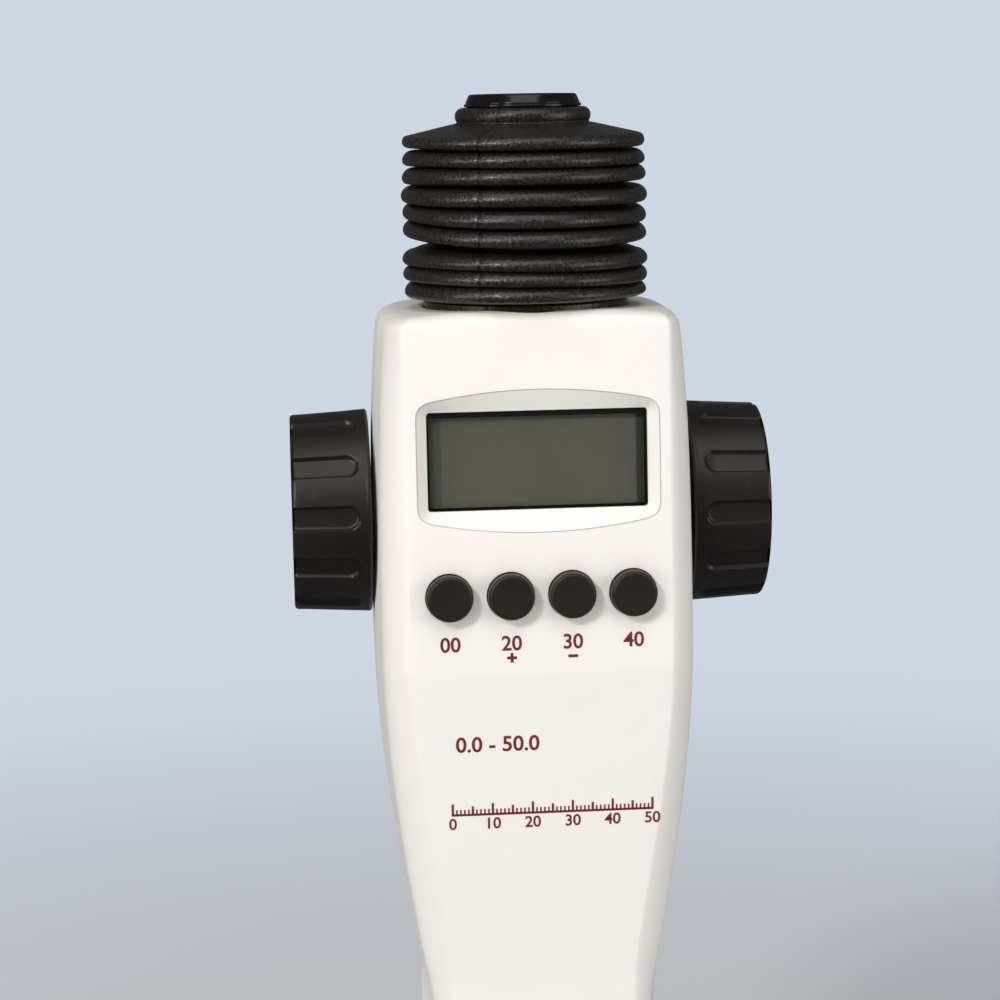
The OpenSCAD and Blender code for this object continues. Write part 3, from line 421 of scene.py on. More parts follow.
@dataclass(frozen=True)
class Masked(Clear):
    """A clear window with a black border printed on its edge; where the clear middle is set off
    centre, the wider part of the border is painted shadow.
    """

    # Middle and half of the clear area; set low, they widen the border at the top as painted
    # shadow.
    middle: tuple[float, float] = (0.0, 0.0)
    half: tuple[float, float] = (1.0, 1.0)
    border: Colour = (0.004, 0.004, 0.004)

    def sockets(self, graph: Graph) -> dict[str, Value]:
        """Clear inside the border, black outside it.

        Args:
            graph: the graph that the nodes go into.

        Returns:
            Socket names and their values.
        """
        sockets = super().sockets(graph)
        across = (graph.axis(0) - self.middle[0]).size().above(self.half[0])
        up = (graph.axis(2) - self.middle[1]).size().above(self.half[1])
        edge = 1.0 - (1.0 - across) * (1.0 - up)
        clear = sockets["Alpha"]
        return {**sockets, "Base Color": graph.blend(self.colour, self.border, edge),
                "Alpha": clear + edge * (1.0 - clear)}


@dataclass(frozen=True)
class Crystal(Finish):
    """Liquid crystal glass at rest: grey, with the faint ghosts of its dots, and painted shade
    along its left and right edges.
    """

    cell_mm: float = 0.72
    # Where the painted shade bands begin: a half-dark band left of the first, a shadow of the
    # recess edge, and a dark band right of the second, the shaded inner wall.
    shade_edges_mm: tuple[float, float] = (-20.3, 21.2)

    def sockets(self, graph: Graph) -> dict[str, Value]:
        """Display glass with a grid of ghosts.

        Args:
            graph: the graph that the nodes go into.

        Returns:
            Socket names and their values.
        """
        across = (graph.axis(0) / self.cell_mm).fract().ramp(0.02, 0.16)
        down = (graph.axis(2) / self.cell_mm).fract().ramp(0.02, 0.16)
        cloud, speck = graph.noise(14.0, 2.0), graph.noise(0.45, 1.0)
        paler = tuple(c * 1.16 for c in self.colour)
        dark = tuple(c * 0.4 for c in self.colour)
        colour = graph.blend(self.colour, paler, across * down * 0.3 + cloud * 0.4 + speck * 0.3)
        # Painted shade: darker bands along the left and right edges of the glass.
        left, right = self.shade_edges_mm
        seam = (1.0 - graph.axis(0).ramp(left - 0.3, left + 0.3)) * 0.5 \
            + graph.axis(0).ramp(right - 0.2, right + 0.2)
        grit = graph.noise(0.45, 1.0).ramp(0.74, 0.8) * 0.5
        return {"Base Color": graph.blend(graph.blend(colour, dark, seam), (0.3, 0.3, 0.28), grit),
                "Roughness": self.rough + (cloud - 0.5) * 0.05, "Specular IOR Level": 0.3}


@dataclass(frozen=True)
class Ink(Finish):
    """Printed ink, a little uneven where the screen laid it thin."""

    def sockets(self, graph: Graph) -> dict[str, Value]:
        """Ink with thin spots.

        Args:
            graph: the graph that the nodes go into.

        Returns:
            Socket names and their values.
        """
        thin = graph.noise(0.5, 2.0).ramp(0.55, 0.9)
        paler = tuple(min(1.0, c * 1.3 + 0.01) for c in self.colour)
        return {"Base Color": graph.blend(self.colour, paler, thin), "Roughness": self.rough}


@dataclass(frozen=True)
class Board(Finish):
    """Circuit board lacquer over copper runs."""

    def sockets(self, graph: Graph) -> dict[str, Value]:
        """Lacquer with paler copper under it.

        Args:
            graph: the graph that the nodes go into.

        Returns:
            Socket names and their values.
        """
        runs = (graph.axis(2) / 1.3).fract().above(0.55) * graph.noise(5.0).above(0.5)
        return {"Base Color": graph.blend(self.colour, (0.05, 0.3, 0.12), runs),
                "Roughness": self.rough, "Normal": graph.bump(runs, 0.02)}


@lru_cache(maxsize=None)
def material_of(finish: Finish) -> bpy.types.Material:
    """Builds a finish once.

    Args:
        finish: the finish.

    Returns:
        Its material.
    """
    material = bpy.data.materials.new(finish.name)
    graph = Graph(material)
    graph.close(finish.sockets(graph))
    return material


HOUSING = Plastic("housing_white", "housing_plastic", (0.87, 0.84, 0.79), 0.42,
                  Grain.FINE, 0.012, 0.4)
DOOR = Plastic("door_white", "cover_plastic", (0.855, 0.825, 0.775), 0.45, Grain.FINE, 0.02, 0.4)
WHEEL = Plastic("wheel_charcoal", "wheel_plastic", (0.0125, 0.0096, 0.0076), 0.36,
                Grain.SPARK, 0.25, 0.33, 0.12, (0.045, 0.038, 0.032))
WHEEL_CAP = Plastic("wheel_cap_charcoal", "wheel_plastic", (0.0105, 0.008, 0.0065), 0.36,
                    Grain.SATIN, 0.2, 0.3, 0.08, (0.04, 0.034, 0.029))
KEY = Plastic("key_charcoal", "key_plastic", (0.0155, 0.0118, 0.0098), 0.42, Grain.SPARK, 0.2, 0.35,
              0.1, (0.04, 0.032, 0.028))
CAP = Plastic("cap_black", "cap_plastic", (0.005, 0.004, 0.0033), 0.16, Grain.POLISHED, 0.1, 0.35)
# Bellows: 21.0 and 26.4 mm are the radii of the painted shade that darkens the roots between the
# folds.
BELLOWS = Rubber("bellows_rubber", "bellows_rubber", (0.009, 0.0067, 0.0048), 0.28, 21.0, 26.4,
                 (0.015, 0.0118, 0.0088), 0.04, 0.42, 2.6, SEAM_TURN)
LCD = Crystal("lcd_grey", "lcd_glass", (0.086, 0.085, 0.066), 0.3)
# The window's clear area sits low, so its black border is wider at the top: a printed border with a
# painted shadow of the recess edge along the top.
WINDOW = Masked("window_clear", "clear_window", (0.05, 0.05, 0.05), 0.06, 0.03,
                (0.0, 214.13), (22.9, 9.6))
PRINT = Ink("print_red", "housing_plastic", (0.175, 0.01, 0.012), 0.45)
BLOCK = Plastic("block_white", "block_plastic", (0.78, 0.785, 0.79), 0.35, Grain.SATIN, 0.04, 0.5)
COLLAR = Plastic("collar_grey", "collar_grey", (0.045, 0.045, 0.05), 0.48, Grain.SPARK, 0.15, 0.5,
                 0.15, (0.12, 0.12, 0.13))
NUT = Plastic("nut_grey", "nut_grey", (0.05, 0.05, 0.055), 0.42, Grain.SATIN, 0.1, 0.5, 0.1,
              (0.12, 0.12, 0.13))
RED = Plastic("knob_red", "knob_red", (0.24, 0.02, 0.018), 0.3, Grain.SATIN, 0.1, 0.5)
TUBE = Clear("tube_clear", "tube_clear", (0.82, 0.86, 0.88), 0.18, 0.55)
GLASS = Clear("cylinder_glass", "cylinder_glass", (0.85, 0.92, 0.93), 0.04, 0.25)
STEEL = Metal("screw_steel", "screw_steel", (0.62, 0.62, 0.63), 0.32)
SHAFT = Metal("shaft_steel", "shaft_steel", (0.66, 0.67, 0.69), 0.25)
BRASS = Metal("brass", "brass", (0.72, 0.52, 0.22), 0.3)
BRONZE = Metal("bronze", "bronze", (0.55, 0.36, 0.16), 0.5)
PLATE = Metal("frame_aluminium", "frame_aluminium", (0.68, 0.69, 0.7), 0.38, (12, 1, 1))
CONTACT = Metal("contact_metal", "contact_metal", (0.75, 0.73, 0.68), 0.22)
ACETAL = Plastic("gear_plastic", "gear_plastic", (0.8, 0.78, 0.72), 0.4, Grain.SATIN, 0.04)
GUIDE = Plastic("guide_plastic", "guide_plastic", (0.78, 0.78, 0.74), 0.42, Grain.SATIN, 0.04)
WAXY = Plastic("ptfe_white", "ptfe", (0.86, 0.86, 0.87), 0.5, Grain.SATIN, 0.03)
SEAL = Rubber("seal_rubber", "seal_rubber", (0.02, 0.02, 0.022), 0.5)
PALE_SEAL = Rubber("gasket_grey", "gasket_grey", (0.55, 0.55, 0.55), 0.6, bloom=(0.62, 0.62, 0.62))
ZEBRA = Rubber("zebra_rubber", "zebra_rubber", (0.5, 0.16, 0.26), 0.5, bloom=(0.6, 0.22, 0.32))
CELL = Plastic("cell_jacket", "cell_jacket", (0.5, 0.3, 0.06), 0.3, Grain.POLISHED, 0.2)
CHIP = Plastic("component_black", "component_black", (0.015, 0.015, 0.017), 0.45, Grain.SATIN, 0.2)
DARK = Plastic("black_plastic", "black_plastic", (0.02, 0.02, 0.022), 0.45, Grain.SATIN, 0.2)
MASK = Board("board_green", "board_green", (0.015, 0.11, 0.045), 0.3)
BALL = Plastic("ball_ceramic", "ball_ceramic", (0.82, 0.82, 0.8), 0.12, Grain.POLISHED, 0.03)

NODES_OF: dict[Finish, str] = {
    STEEL: "housing_screws board_screws wheel_screws frame_screws cap_screw bellows_ring "
           "ring_screws",
    WINDOW: "display_window",
    LCD: "lcd_panel",
    DARK: "lcd_frame encoder_disc",
    ZEBRA: "zebra_strips",
    MASK: "circuit_board",
    CHIP: "board_components tact_switches opto_sensor",
    CELL: "batteries",
    CONTACT: "battery_contacts",
    SHAFT: "drive_shaft counter_shaft rack_rod",
    BRONZE: "shaft_bushes",
    BRASS: "drive_pinion rack_pinion",
    ACETAL: "reduction_gear",
    PLATE: "gear_frame",
    GUIDE: "rod_guide",
    WAXY: "piston cylinder_head inlet_nipple",
    SEAL: "piston_seal cylinder_gasket",
    GLASS: "glass_cylinder",
    BALL: "suction_ball discharge_ball",
    NUT: "vent_plug tube_nut",
    PALE_SEAL: "collar_gasket",
    HOUSING: "front_shell rear_shell",
    DOOR: "battery_cover",
    KEY: "key_reset key_plus key_minus key_memory",
    WHEEL: "handwheel_left handwheel_right",
    WHEEL_CAP: "wheel_caps",
    BELLOWS: "bellows",
    CAP: "bellows_cap",
    BLOCK: "valve_block",
    RED: "valve_knob tip_cap",
    TUBE: "discharge_tube",
    COLLAR: "bottle_collar",
}


# ------------------------------------------------------------------ shape tools
def span(low: float, high: float, count: int, skip_first: bool = False) -> Array:
    """Evenly spaced numbers.

    Args:
        low: the first number.
        high: the last number.
        count: how many.
        skip_first: leaves the first one out.

    Returns:
        The numbers.
    """
    return np.linspace(low, high, count)[1 if skip_first else 0:]


def bend(first: Array, corner: Array, last: Array, share: Array) -> Array:
    """A parabola that leaves and arrives along the lines to its corner.

    Args:
        first: start points, shape (..., 2).
        corner: corner points.
        last: end points.
        share: where on the curve, from 0 to 1.

    Returns:
        Points of shape (..., len(share), 2): a(1-t)^2 + 2bt(1-t) + ct^2.
    """
    t = share[:, None]
    a, b, c = (np.asarray(p, float)[..., None, :] for p in (first, corner, last))
    return a * (1 - t) ** 2 + b * 2 * t * (1 - t) + c * t ** 2


def rounded(corners: Sequence[Sequence[float]], radii: float | Sequence[float],
            steps: int = 6) -> Array:
    """An open outline with each inner corner replaced by a bend.

    Args:
        corners: the outline's corners.
        radii: how far each bend starts from its corner, at most 0.48 of the shorter side.
        steps: points in a bend, less one.

    Returns:
        The outline's points.
    """
    p = np.asarray(corners, float)
    back, ahead = p[:-2] - p[1:-1], p[2:] - p[1:-1]
    long_back, long_ahead = (np.linalg.norm(v, axis=1) for v in (back, ahead))
    wanted = np.broadcast_to(np.asarray(radii, float), (len(p) - 2,))
    cut = np.minimum(wanted, 0.48 * np.minimum(long_back, long_ahead))[:, None]
    first = p[1:-1] + back / long_back[:, None] * cut
    last = p[1:-1] + ahead / long_ahead[:, None] * cut
    curve = bend(first, p[1:-1], last, span(0, 1, steps + 1)).reshape(-1, 2)
    return np.vstack([p[:1], curve, p[-1:]])


def grid_faces(rows: int, columns: int, wrap: bool) -> Array:
    """Quads between the points of a grid, row by row.

    Args:
        rows: number of rows.
        columns: number of columns.
        wrap: joins the last column to the first.

    Returns:
        Indices, four to a face.
    """
    i, j = np.meshgrid(np.arange(rows - 1), np.arange(columns if wrap else columns - 1),
                       indexing="ij")
    k, low, high = (j + 1) % columns, i * columns, (i + 1) * columns
    return np.stack([low + j, low + k, high + k, high + j], -1).reshape(-1, 4)


@dataclass
class Shape:
    """Points in millimetres and the faces between them."""

    points: Array
    faces: list[list[int]]

    def moved(self, matrix: Matrix) -> "Shape":
        """The shape carried to another frame.

        Args:
            matrix: the frame, with its shift in millimetres.

        Returns:
            The moved shape.
        """
        m = np.array(matrix)
        return Shape(self.points @ m[:3, :3].T + m[:3, 3], self.faces)

    def __add__(self, other: "Shape") -> "Shape":
        """Both shapes in one."""
        shift = len(self.points)
        return Shape(np.vstack([self.points, other.points]),
                     self.faces + [[i + shift for i in f] for f in other.faces])

    def mirrored(self) -> "Shape":
        """The shape reflected in the plane X = 0, its faces turned round again."""
        return Shape(self.points * (-1, 1, 1), [f[::-1] for f in self.faces])


def closed_rings(rings: Array) -> Shape:
    """A closed skin over rings, with a pole at the middle of the first and the last ring.

    Args:
        rings: points of shape (rings, points, 3).

    Returns:
        The closed shape.
    """
    rows, columns, _ = rings.shape
    poles = np.stack([rings[0].mean(0), rings[-1].mean(0)])
    j = np.arange(columns)
    k = (j + 1) % columns
    low = np.stack([np.full(columns, rows * columns), k, j], -1)
    top = (rows - 1) * columns
    high = np.stack([np.full(columns, rows * columns + 1), top + j, top + k], -1)
    faces = grid_faces(rows, columns, True).tolist() + low.tolist() + high.tolist()
    return Shape(np.vstack([rings.reshape(-1, 3), poles]), faces)


def polar(radius: Array, angle: Array, height: Array) -> Array:
    """Points from radius, angle and height, each broadcast to the others."""
    return np.stack(np.broadcast_arrays(radius * np.cos(angle), radius * np.sin(angle), height), -1)


def steps_round(segments: int) -> Array:
    """Evenly spaced angles once round."""
    return np.arange(segments) * FULL_TURN / segments


def closed_grid(points: Array) -> Shape:
    """A skin over a grid that closes on itself both ways.

    Args:
        points: points of shape (rows, columns, 3).

    Returns:
        The closed shape.
    """
    rows, columns, _ = points.shape
    faces = grid_faces(rows + 1, columns, True) % (rows * columns)
    return Shape(points.reshape(-1, 3), faces.tolist())


def turned(profile: Array, segments: int = 96) -> Shape:
    """A closed body turned from a profile that starts and ends on the axis.

    Args:
        profile: radius and height of each point, from the low pole to the high pole.
        segments: steps round the axis.

    Returns:
        The turned shape.
    """
    body = profile[profile[:, 0] > 1e-6]
    shape = closed_rings(polar(body[:, :1], steps_round(segments), body[:, 1:]))
    shape.points[-2:, 2] = profile[[0, -1], 1]
    return shape


def tube_ring(profile: Array, segments: int = 96) -> Shape:
    """A ring-shaped body turned from a closed profile that stays off the axis.

    Args:
        profile: radius and height of each point, once round the section.
        segments: steps round the axis.

    Returns:
        The ring.
    """
    radius, height = profile.T[:, None]
    return closed_grid(polar(radius, steps_round(segments)[:, None], height))


def slab_outline(width: float, height: float, bow: float, corner: float, arc: int = 24) -> Array:
    """A closed outline with bowed top and bottom, straight sides and rounded corners.

    Args:
        width: full width.
        height: full height at the middle.
        bow: how much lower the top is at its ends.
        corner: radius of the corners.
        arc: points along each bow.

    Returns:
        Points across and up, counter-clockwise from the lower left.
    """
    half, top = width / 2, height / 2
    x = span(-half + corner, half - corner, arc)
    edge = top - bow * (x / half) ** 2
    turn = span(0, 1, 8)[1:-1]
    low = np.stack([x, -edge], -1)
    high = np.stack([x[::-1], edge[::-1]], -1)
    tip = top - bow
    right_low = bend((x[-1], -edge[-1]), (half, -tip), (half, -tip + corner), turn)
    right_high = bend((half, tip - corner), (half, tip), (x[-1], edge[-1]), turn)
    sides = [(half, -tip + corner), (half, 0), (half, tip - corner)]
    left = np.array(sides)[::-1] * (-1, 1)
    return np.vstack([low, right_low, sides, right_high, high, right_high[::-1] * (-1, 1), left,
                      right_low[::-1] * (-1, 1)])


def prism(outline: Array, levels: Sequence[float], grow: Sequence[float] | None = None) -> Shape:
    """A closed prism over an outline, with its levels along the third axis.

    Args:
        outline: points across and up.
        levels: where each copy of the outline lies.
        grow: how far each copy is pushed out from the middle along its radius.

    Returns:
        The prism.
    """
    push = np.zeros(len(levels)) if grow is None else np.asarray(grow, float)
    way = outline / np.maximum(np.linalg.norm(outline, axis=1, keepdims=True), 1e-9)
    flat = outline[None] + way[None] * push[:, None, None]
    height = np.broadcast_to(np.asarray(levels, float)[:, None, None], flat.shape[:2] + (1,))
    return closed_rings(np.concatenate([flat, height], -1))


def box_shape(low: Sequence[float], high: Sequence[float]) -> Shape:
    """A plain box, for cutting.

    Args:
        low: its lowest corner.
        high: its highest corner.

    Returns:
        The box.
    """
    (x0, y0, z0), (x1, y1, z1) = low, high
    outline = np.array([(x0, y0), (x1, y0), (x1, y1), (x0, y1)], float)
    rings = np.stack([np.c_[outline, np.full(4, z)] for z in (z0, z1)])
    faces = grid_faces(2, 4, True).tolist() + [[3, 2, 1, 0], [4, 5, 6, 7]]
    return Shape(rings.reshape(-1, 3), faces)


def cylinder(radius: float, low: float, high: float, segments: int) -> Shape:
    """A plain cylinder about the third axis, for cutting."""
    return turned(np.array([(0, low), (radius, low), (radius, high), (0, high)], float), segments)


def along_x(x: float, y: float, z: float) -> Matrix:
    """The frame of something whose axis runs towards +X from a point."""
    return Matrix(((0, 0, 1, x), (1, 0, 0, y), (0, 1, 0, z), (0, 0, 0, 1)))


def along_y(x: float, y: float, z: float) -> Matrix:
    """The frame of something whose axis runs towards +Y from a point."""
    return Matrix(((1, 0, 0, x), (0, 0, 1, y), (0, -1, 0, z), (0, 0, 0, 1)))


def placed(name: str, data: bpy.types.ID) -> bpy.types.Object:
    """An object in the scene that holds some data.

    Args:
        name: the object's name.
        data: its mesh, curve, camera or lamp.

    Returns:
        The object.
    """
    holder = bpy.data.objects.new(name, data)
    bpy.context.scene.collection.objects.link(holder)
    return holder


def evaluated(holder: bpy.types.Object) -> Shape:
    """The shape that an object has once its modifiers or its type are worked out.

    Args:
        holder: the object, in its data's own units.

    Returns:
        Its points and faces, in the same units.
    """
    graph = bpy.context.evaluated_depsgraph_get()
    mesh = bpy.data.meshes.new_from_object(holder.evaluated_get(graph))
    points = np.zeros(len(mesh.vertices) * 3)
    mesh.vertices.foreach_get("co", points)
    return Shape(points.reshape(-1, 3), [list(f.vertices) for f in mesh.polygons])


def to_mesh(shape: Shape, name: str) -> bpy.types.Mesh:
    """Puts a shape into a mesh in metres, with its doubles merged and its faces outwards.

    Args:
        shape: the shape.
        name: the mesh's name.

    Returns:
        The mesh.
    """
    mesh = bpy.data.meshes.new(name)
    mesh.from_pydata((shape.points * MM).tolist(), [], shape.faces)
    work = bmesh.new()
    work.from_mesh(mesh)
    bmesh.ops.remove_doubles(work, verts=work.verts, dist=1e-6)
    bmesh.ops.recalc_face_normals(work, faces=work.faces)
    work.to_mesh(mesh)
    work.free()
    return mesh


def carve(shape: Shape, steps: Sequence[tuple[str, Shape]]) -> Shape:
    """Joins, cuts or crosses a shape with others, one after another.

    Args:
        shape: the closed shape to start with.
        steps: pairs of UNION, DIFFERENCE or INTERSECT and a closed shape.

    Returns:
        The carved shape.
    """
    start = placed("carved", to_mesh(shape, "carved"))
    tools = [placed(f"tool_{index}", to_mesh(tool, "tool"))
             for index, (_, tool) in enumerate(steps)]
    for index, ((operation, _), tool) in enumerate(zip(steps, tools)):
        step = start.modifiers.new(f"step_{index}", "BOOLEAN")
        step.operation, step.object, step.solver = operation, tool, "EXACT"
    result = evaluated(start)
    for thing in [start, *tools]:
        bpy.data.objects.remove(thing)
    return Shape(result.points / MM, result.faces)


def make_piece(name: str, shape: Shape, finish: Finish, body: str | None,
               replaced: Sequence[str] = (), crease: float = 32.0) -> bpy.types.Object:
    """Turns a shape into a dressed piece that rides on a body.

    Args:
        name: the piece's name.
        shape: its shape, in millimetres.
        finish: its finish.
        body: the body that it rides on, or None where it rides on none.
        replaced: the frame's nodes that it stands for.
        crease: faces that meet at a sharper angle keep a crisp edge, in degrees.

    Returns:
        The piece.
    """
    mesh = to_mesh(shape, name)
    mesh.materials.append(material_of(finish))
    mesh.shade_smooth()
    mesh.set_sharp_from_angle(angle=math.radians(crease))
    piece = placed(name, mesh)
    if replaced:
        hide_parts(*replaced)
    if body:
        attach(piece, body)
    LOG.info("%s: %d faces, rides on %s", name, len(mesh.polygons), body or "two bodies")
    return piece


# ------------------------------------------------------------------ housing
@dataclass
class HousingSurface:
    """The moulded body as a surface: its measures and the section at each height."""

    head_w: float = 68.8
    column_w: float = 52.2
    face_w: float = 56.6
    column_face_w: float = 40.0
    face_front: float = 27.2
    column_front: float = 22.0
    head_back: float = 28.0
    column_back: float = 24.0
    base_z: float = 50.0
    waist_z: float = 100.0
    crease_z: float = 169.5
    shoulder_z: float = 175.5
    back_full_z: float = 132.5
    top_z: float = 246.2
    top_arch: float = 1.9
    arch_reach: float = 26.0
    tilt: float = math.radians(2.5)
    top_narrowing: float = 2.3
    top_curve: float = 3.2
    head_draft: float = 0.9
    column_draft: float = 2.6
    bevel: float = 9.0
    column_bevel: float = 6.0
    split_y: float = -4.0
    back_corner: float = 9.0
    top_edge: float = 2.8
    top_edge_in: float = 4.0
    foot_edge: float = 1.0
    panel_soft: float = 0.6
    face_curve: float = 1.25
    side_ease: float = 3.0
    crease_ease: float = 0.3
    bevel_lead: float = 0.16

    @staticmethod
    def between(low: float, high: float, share: Array) -> Array:
        """The value at a share of the way from low to high."""
        return low + (high - low) * share

    @staticmethod
    def share(z: Array, low: float, high: float) -> Array:
        """How far z has gone from low to high, held between 0 and 1."""
        return np.clip((z - low) / (high - low), 0, 1)

    @staticmethod
    def eased(curve: Callable[[Array], Array], z: Array, reach: float) -> Array:
        """A curve averaged over a short stretch, which rounds its corners.

        Args:
            curve: the curve.
            z: heights.
            reach: half of the stretch.

        Returns:
            The averaged values.
        """
        return np.mean([curve(z + reach * s) for s in span(-1, 1, 9)], axis=0)

    def widen(self, z: Array) -> Array:
        """Share of the way from the column's width to the head's, a quarter sine."""
        return self.eased(lambda h: np.sin(
            math.pi / 2 * self.share(h, self.waist_z, self.shoulder_z)), z, self.side_ease)

    def half_width(self, z: Array) -> Array:
        """Half of the body's width at the widest place of the section."""
        risen = self.share(z, self.shoulder_z, self.top_z)
        return self.between(self.column_w / 2, self.head_w / 2, self.widen(z)) \
            - self.top_narrowing * risen ** self.top_curve

    def half_face(self, z: Array) -> Array:
        """Half of the flat panel's width."""
        return self.between(self.column_face_w / 2, self.face_w / 2,
                            self.widen(z) ** self.face_curve)

    def front_y(self, z: Array) -> Array:
        """The panel's place: a slope up to the crease and a leaning panel above it."""
        def plain(h: Array) -> Array:
            """The two straight stretches with a sharp crease."""
            slope = self.between(self.column_front, self.face_front,
                                 self.share(h, self.waist_z, self.crease_z))
            lean = (h - self.crease_z) * math.tan(self.tilt)
            return np.where(h > self.crease_z, lean - self.face_front, -slope)
        return self.eased(plain, z, self.crease_ease)

    def back_y(self, z: Array) -> Array:
        """The back's place."""
        return self.eased(lambda h: self.between(
            self.column_back, self.head_back,
            self.share(h, self.waist_z, self.back_full_z)), z, self.side_ease)

    def side_draft(self, z: Array) -> Array:
        """How far the side has drawn in where the bevel meets it."""
        return self.between(self.head_draft, self.column_draft,
                            self.share(-z, -self.waist_z - 3, -self.waist_z + 11))

    def section(self, z: Array, inset: Array) -> Array:
        """The level section at each height, once round from the middle of the front.

        Args:
            z: heights.
            inset: how far each section is drawn in.

        Returns:
            Points across and back, shape (heights, points, 2).
        """
        w = self.half_width(z) - inset
        f = self.half_face(z) - 0.6 * inset
        s = w - self.side_draft(z)
        yf = self.front_y(z) + inset
        yb = self.back_y(z) - inset
        deep = self.between(self.column_bevel, self.bevel, self.widen(z))
        zero = np.zeros_like(w)

        def at(x: Array, y: Array) -> Array:
            """Points with these places across and back."""
            return np.stack([x + zero, y + zero], -1)

        bevel = [at(f, yf), at(s - 0.6, yf + 0.5 * deep), at(s, yf + deep)]
        joint = bend(*bevel, np.array([self.bevel_lead]))[:, 0]
        split, corner = at(w, self.split_y), at(w, self.split_y + 12)
        ease = span(0, 1, 9)[:, None]

        def line(a: Array, b: Array, skip: int = 1) -> Array:
            """Nine points on the straight line from a to b."""
            return (a[:, None] * (1 - ease) + b[:, None] * ease)[:, skip:]

        half = np.concatenate([
            line(at(zero, yf), at(f - self.panel_soft, yf), 0),
            bend(at(f - self.panel_soft, yf), at(f, yf), joint, span(0, 1, 8, True)),
            bend(*bevel, span(self.bevel_lead, 1, 14, True)),
            line(at(s, yf + deep), split), line(split, corner),
            bend(corner, at(w + 0.2, yb), at(w - self.back_corner, yb), span(0, 1, 18, True)),
            line(at(w - self.back_corner, yb), at(zero, yb))], axis=1)
        return np.concatenate([half, half[:, -2:0:-1] * (-1, 1)], axis=1)

    def rings(self, low_z: float, inset: float) -> Array:
        """Rings from the foot to the crown, drawn in by inset.

        Args:
            low_z: height of the foot.
            inset: how far the whole surface is drawn in.

        Returns:
            Points of shape (rings, points, 3).
        """
        top = self.top_z - inset
        edge = top - self.top_edge
        turn = span(0, math.pi / 2, 12)
        rise = np.concatenate([span(low_z + self.foot_edge, self.waist_z - 8, 12),
                               span(self.waist_z - 7, self.waist_z + 8, 12),
                               span(self.waist_z + 10, self.crease_z - 2, 34),
                               span(self.crease_z - 1.2, self.crease_z + 1.2, 13),
                               span(self.crease_z + 2.5, edge, 40)])
        foot = low_z + self.foot_edge * (1 - np.cos(turn[:-1]))
        foot_in = self.foot_edge * (1 - np.sin(turn[:-1]))
        crown = edge + self.top_edge * np.sin(turn[1:])
        crown_in = 1 - np.cos(turn[1:])
        z = np.concatenate([foot[:1], foot, rise, crown, np.full(7, top)])
        extra = np.concatenate([foot_in[:1], foot_in, np.zeros_like(rise),
                                self.top_edge_in * crown_in, np.full(7, self.top_edge_in)])
        shrink = np.concatenate([[0.5], np.ones(len(z) - 8), span(1, 0.12, 8, True)])[:, None]
        flat = self.section(z, inset + extra) * shrink[..., None]
        x, y = flat[..., 0], flat[..., 1]
        near_top = self.share(z, self.top_z - self.arch_reach, self.top_z)[:, None]
        drop = self.top_arch * (2 * x / self.head_w) ** 2 * near_top
        back = np.where(y < 0, drop * math.tan(self.tilt), 0)
        return np.stack([x, y - back, z[:, None] - drop], -1)

    def body(self, low_z: float, inset: float) -> Shape:
        """The closed surface."""
        return closed_rings(self.rings(low_z, inset))

    def leaning(self, angle: float) -> Matrix:
        """A frame at the crease that leans by an angle."""
        return Matrix.Translation((0, -self.face_front, self.crease_z)) \
            @ Matrix.Rotation(angle, 4, "X")

    def panel(self) -> Matrix:
        """The panel's frame: across, down into the housing, and up the panel from the crease."""
        return self.leaning(-self.tilt)

    def slope(self) -> Matrix:
        """The frame of the slope below the crease, laid out as the panel's."""
        return self.leaning(math.atan2(self.face_front - self.column_front,
                                       self.crease_z - self.waist_z))


def facing(base: Matrix, across: float, depth: float, up: float) -> Matrix:
    """A frame on a panel whose third axis points into the housing.

    Args:
        base: the panel's frame.
        across: place across the panel.
        depth: depth behind its face.
        up: height above the crease.

    Returns:
        The frame: across, up, in.
    """
    turn = Matrix(((1, 0, 0, 0), (0, 0, 1, 0), (0, 1, 0, 0), (0, 0, 0, 1)))
    return base @ Matrix.Translation((across, depth, up)) @ turn


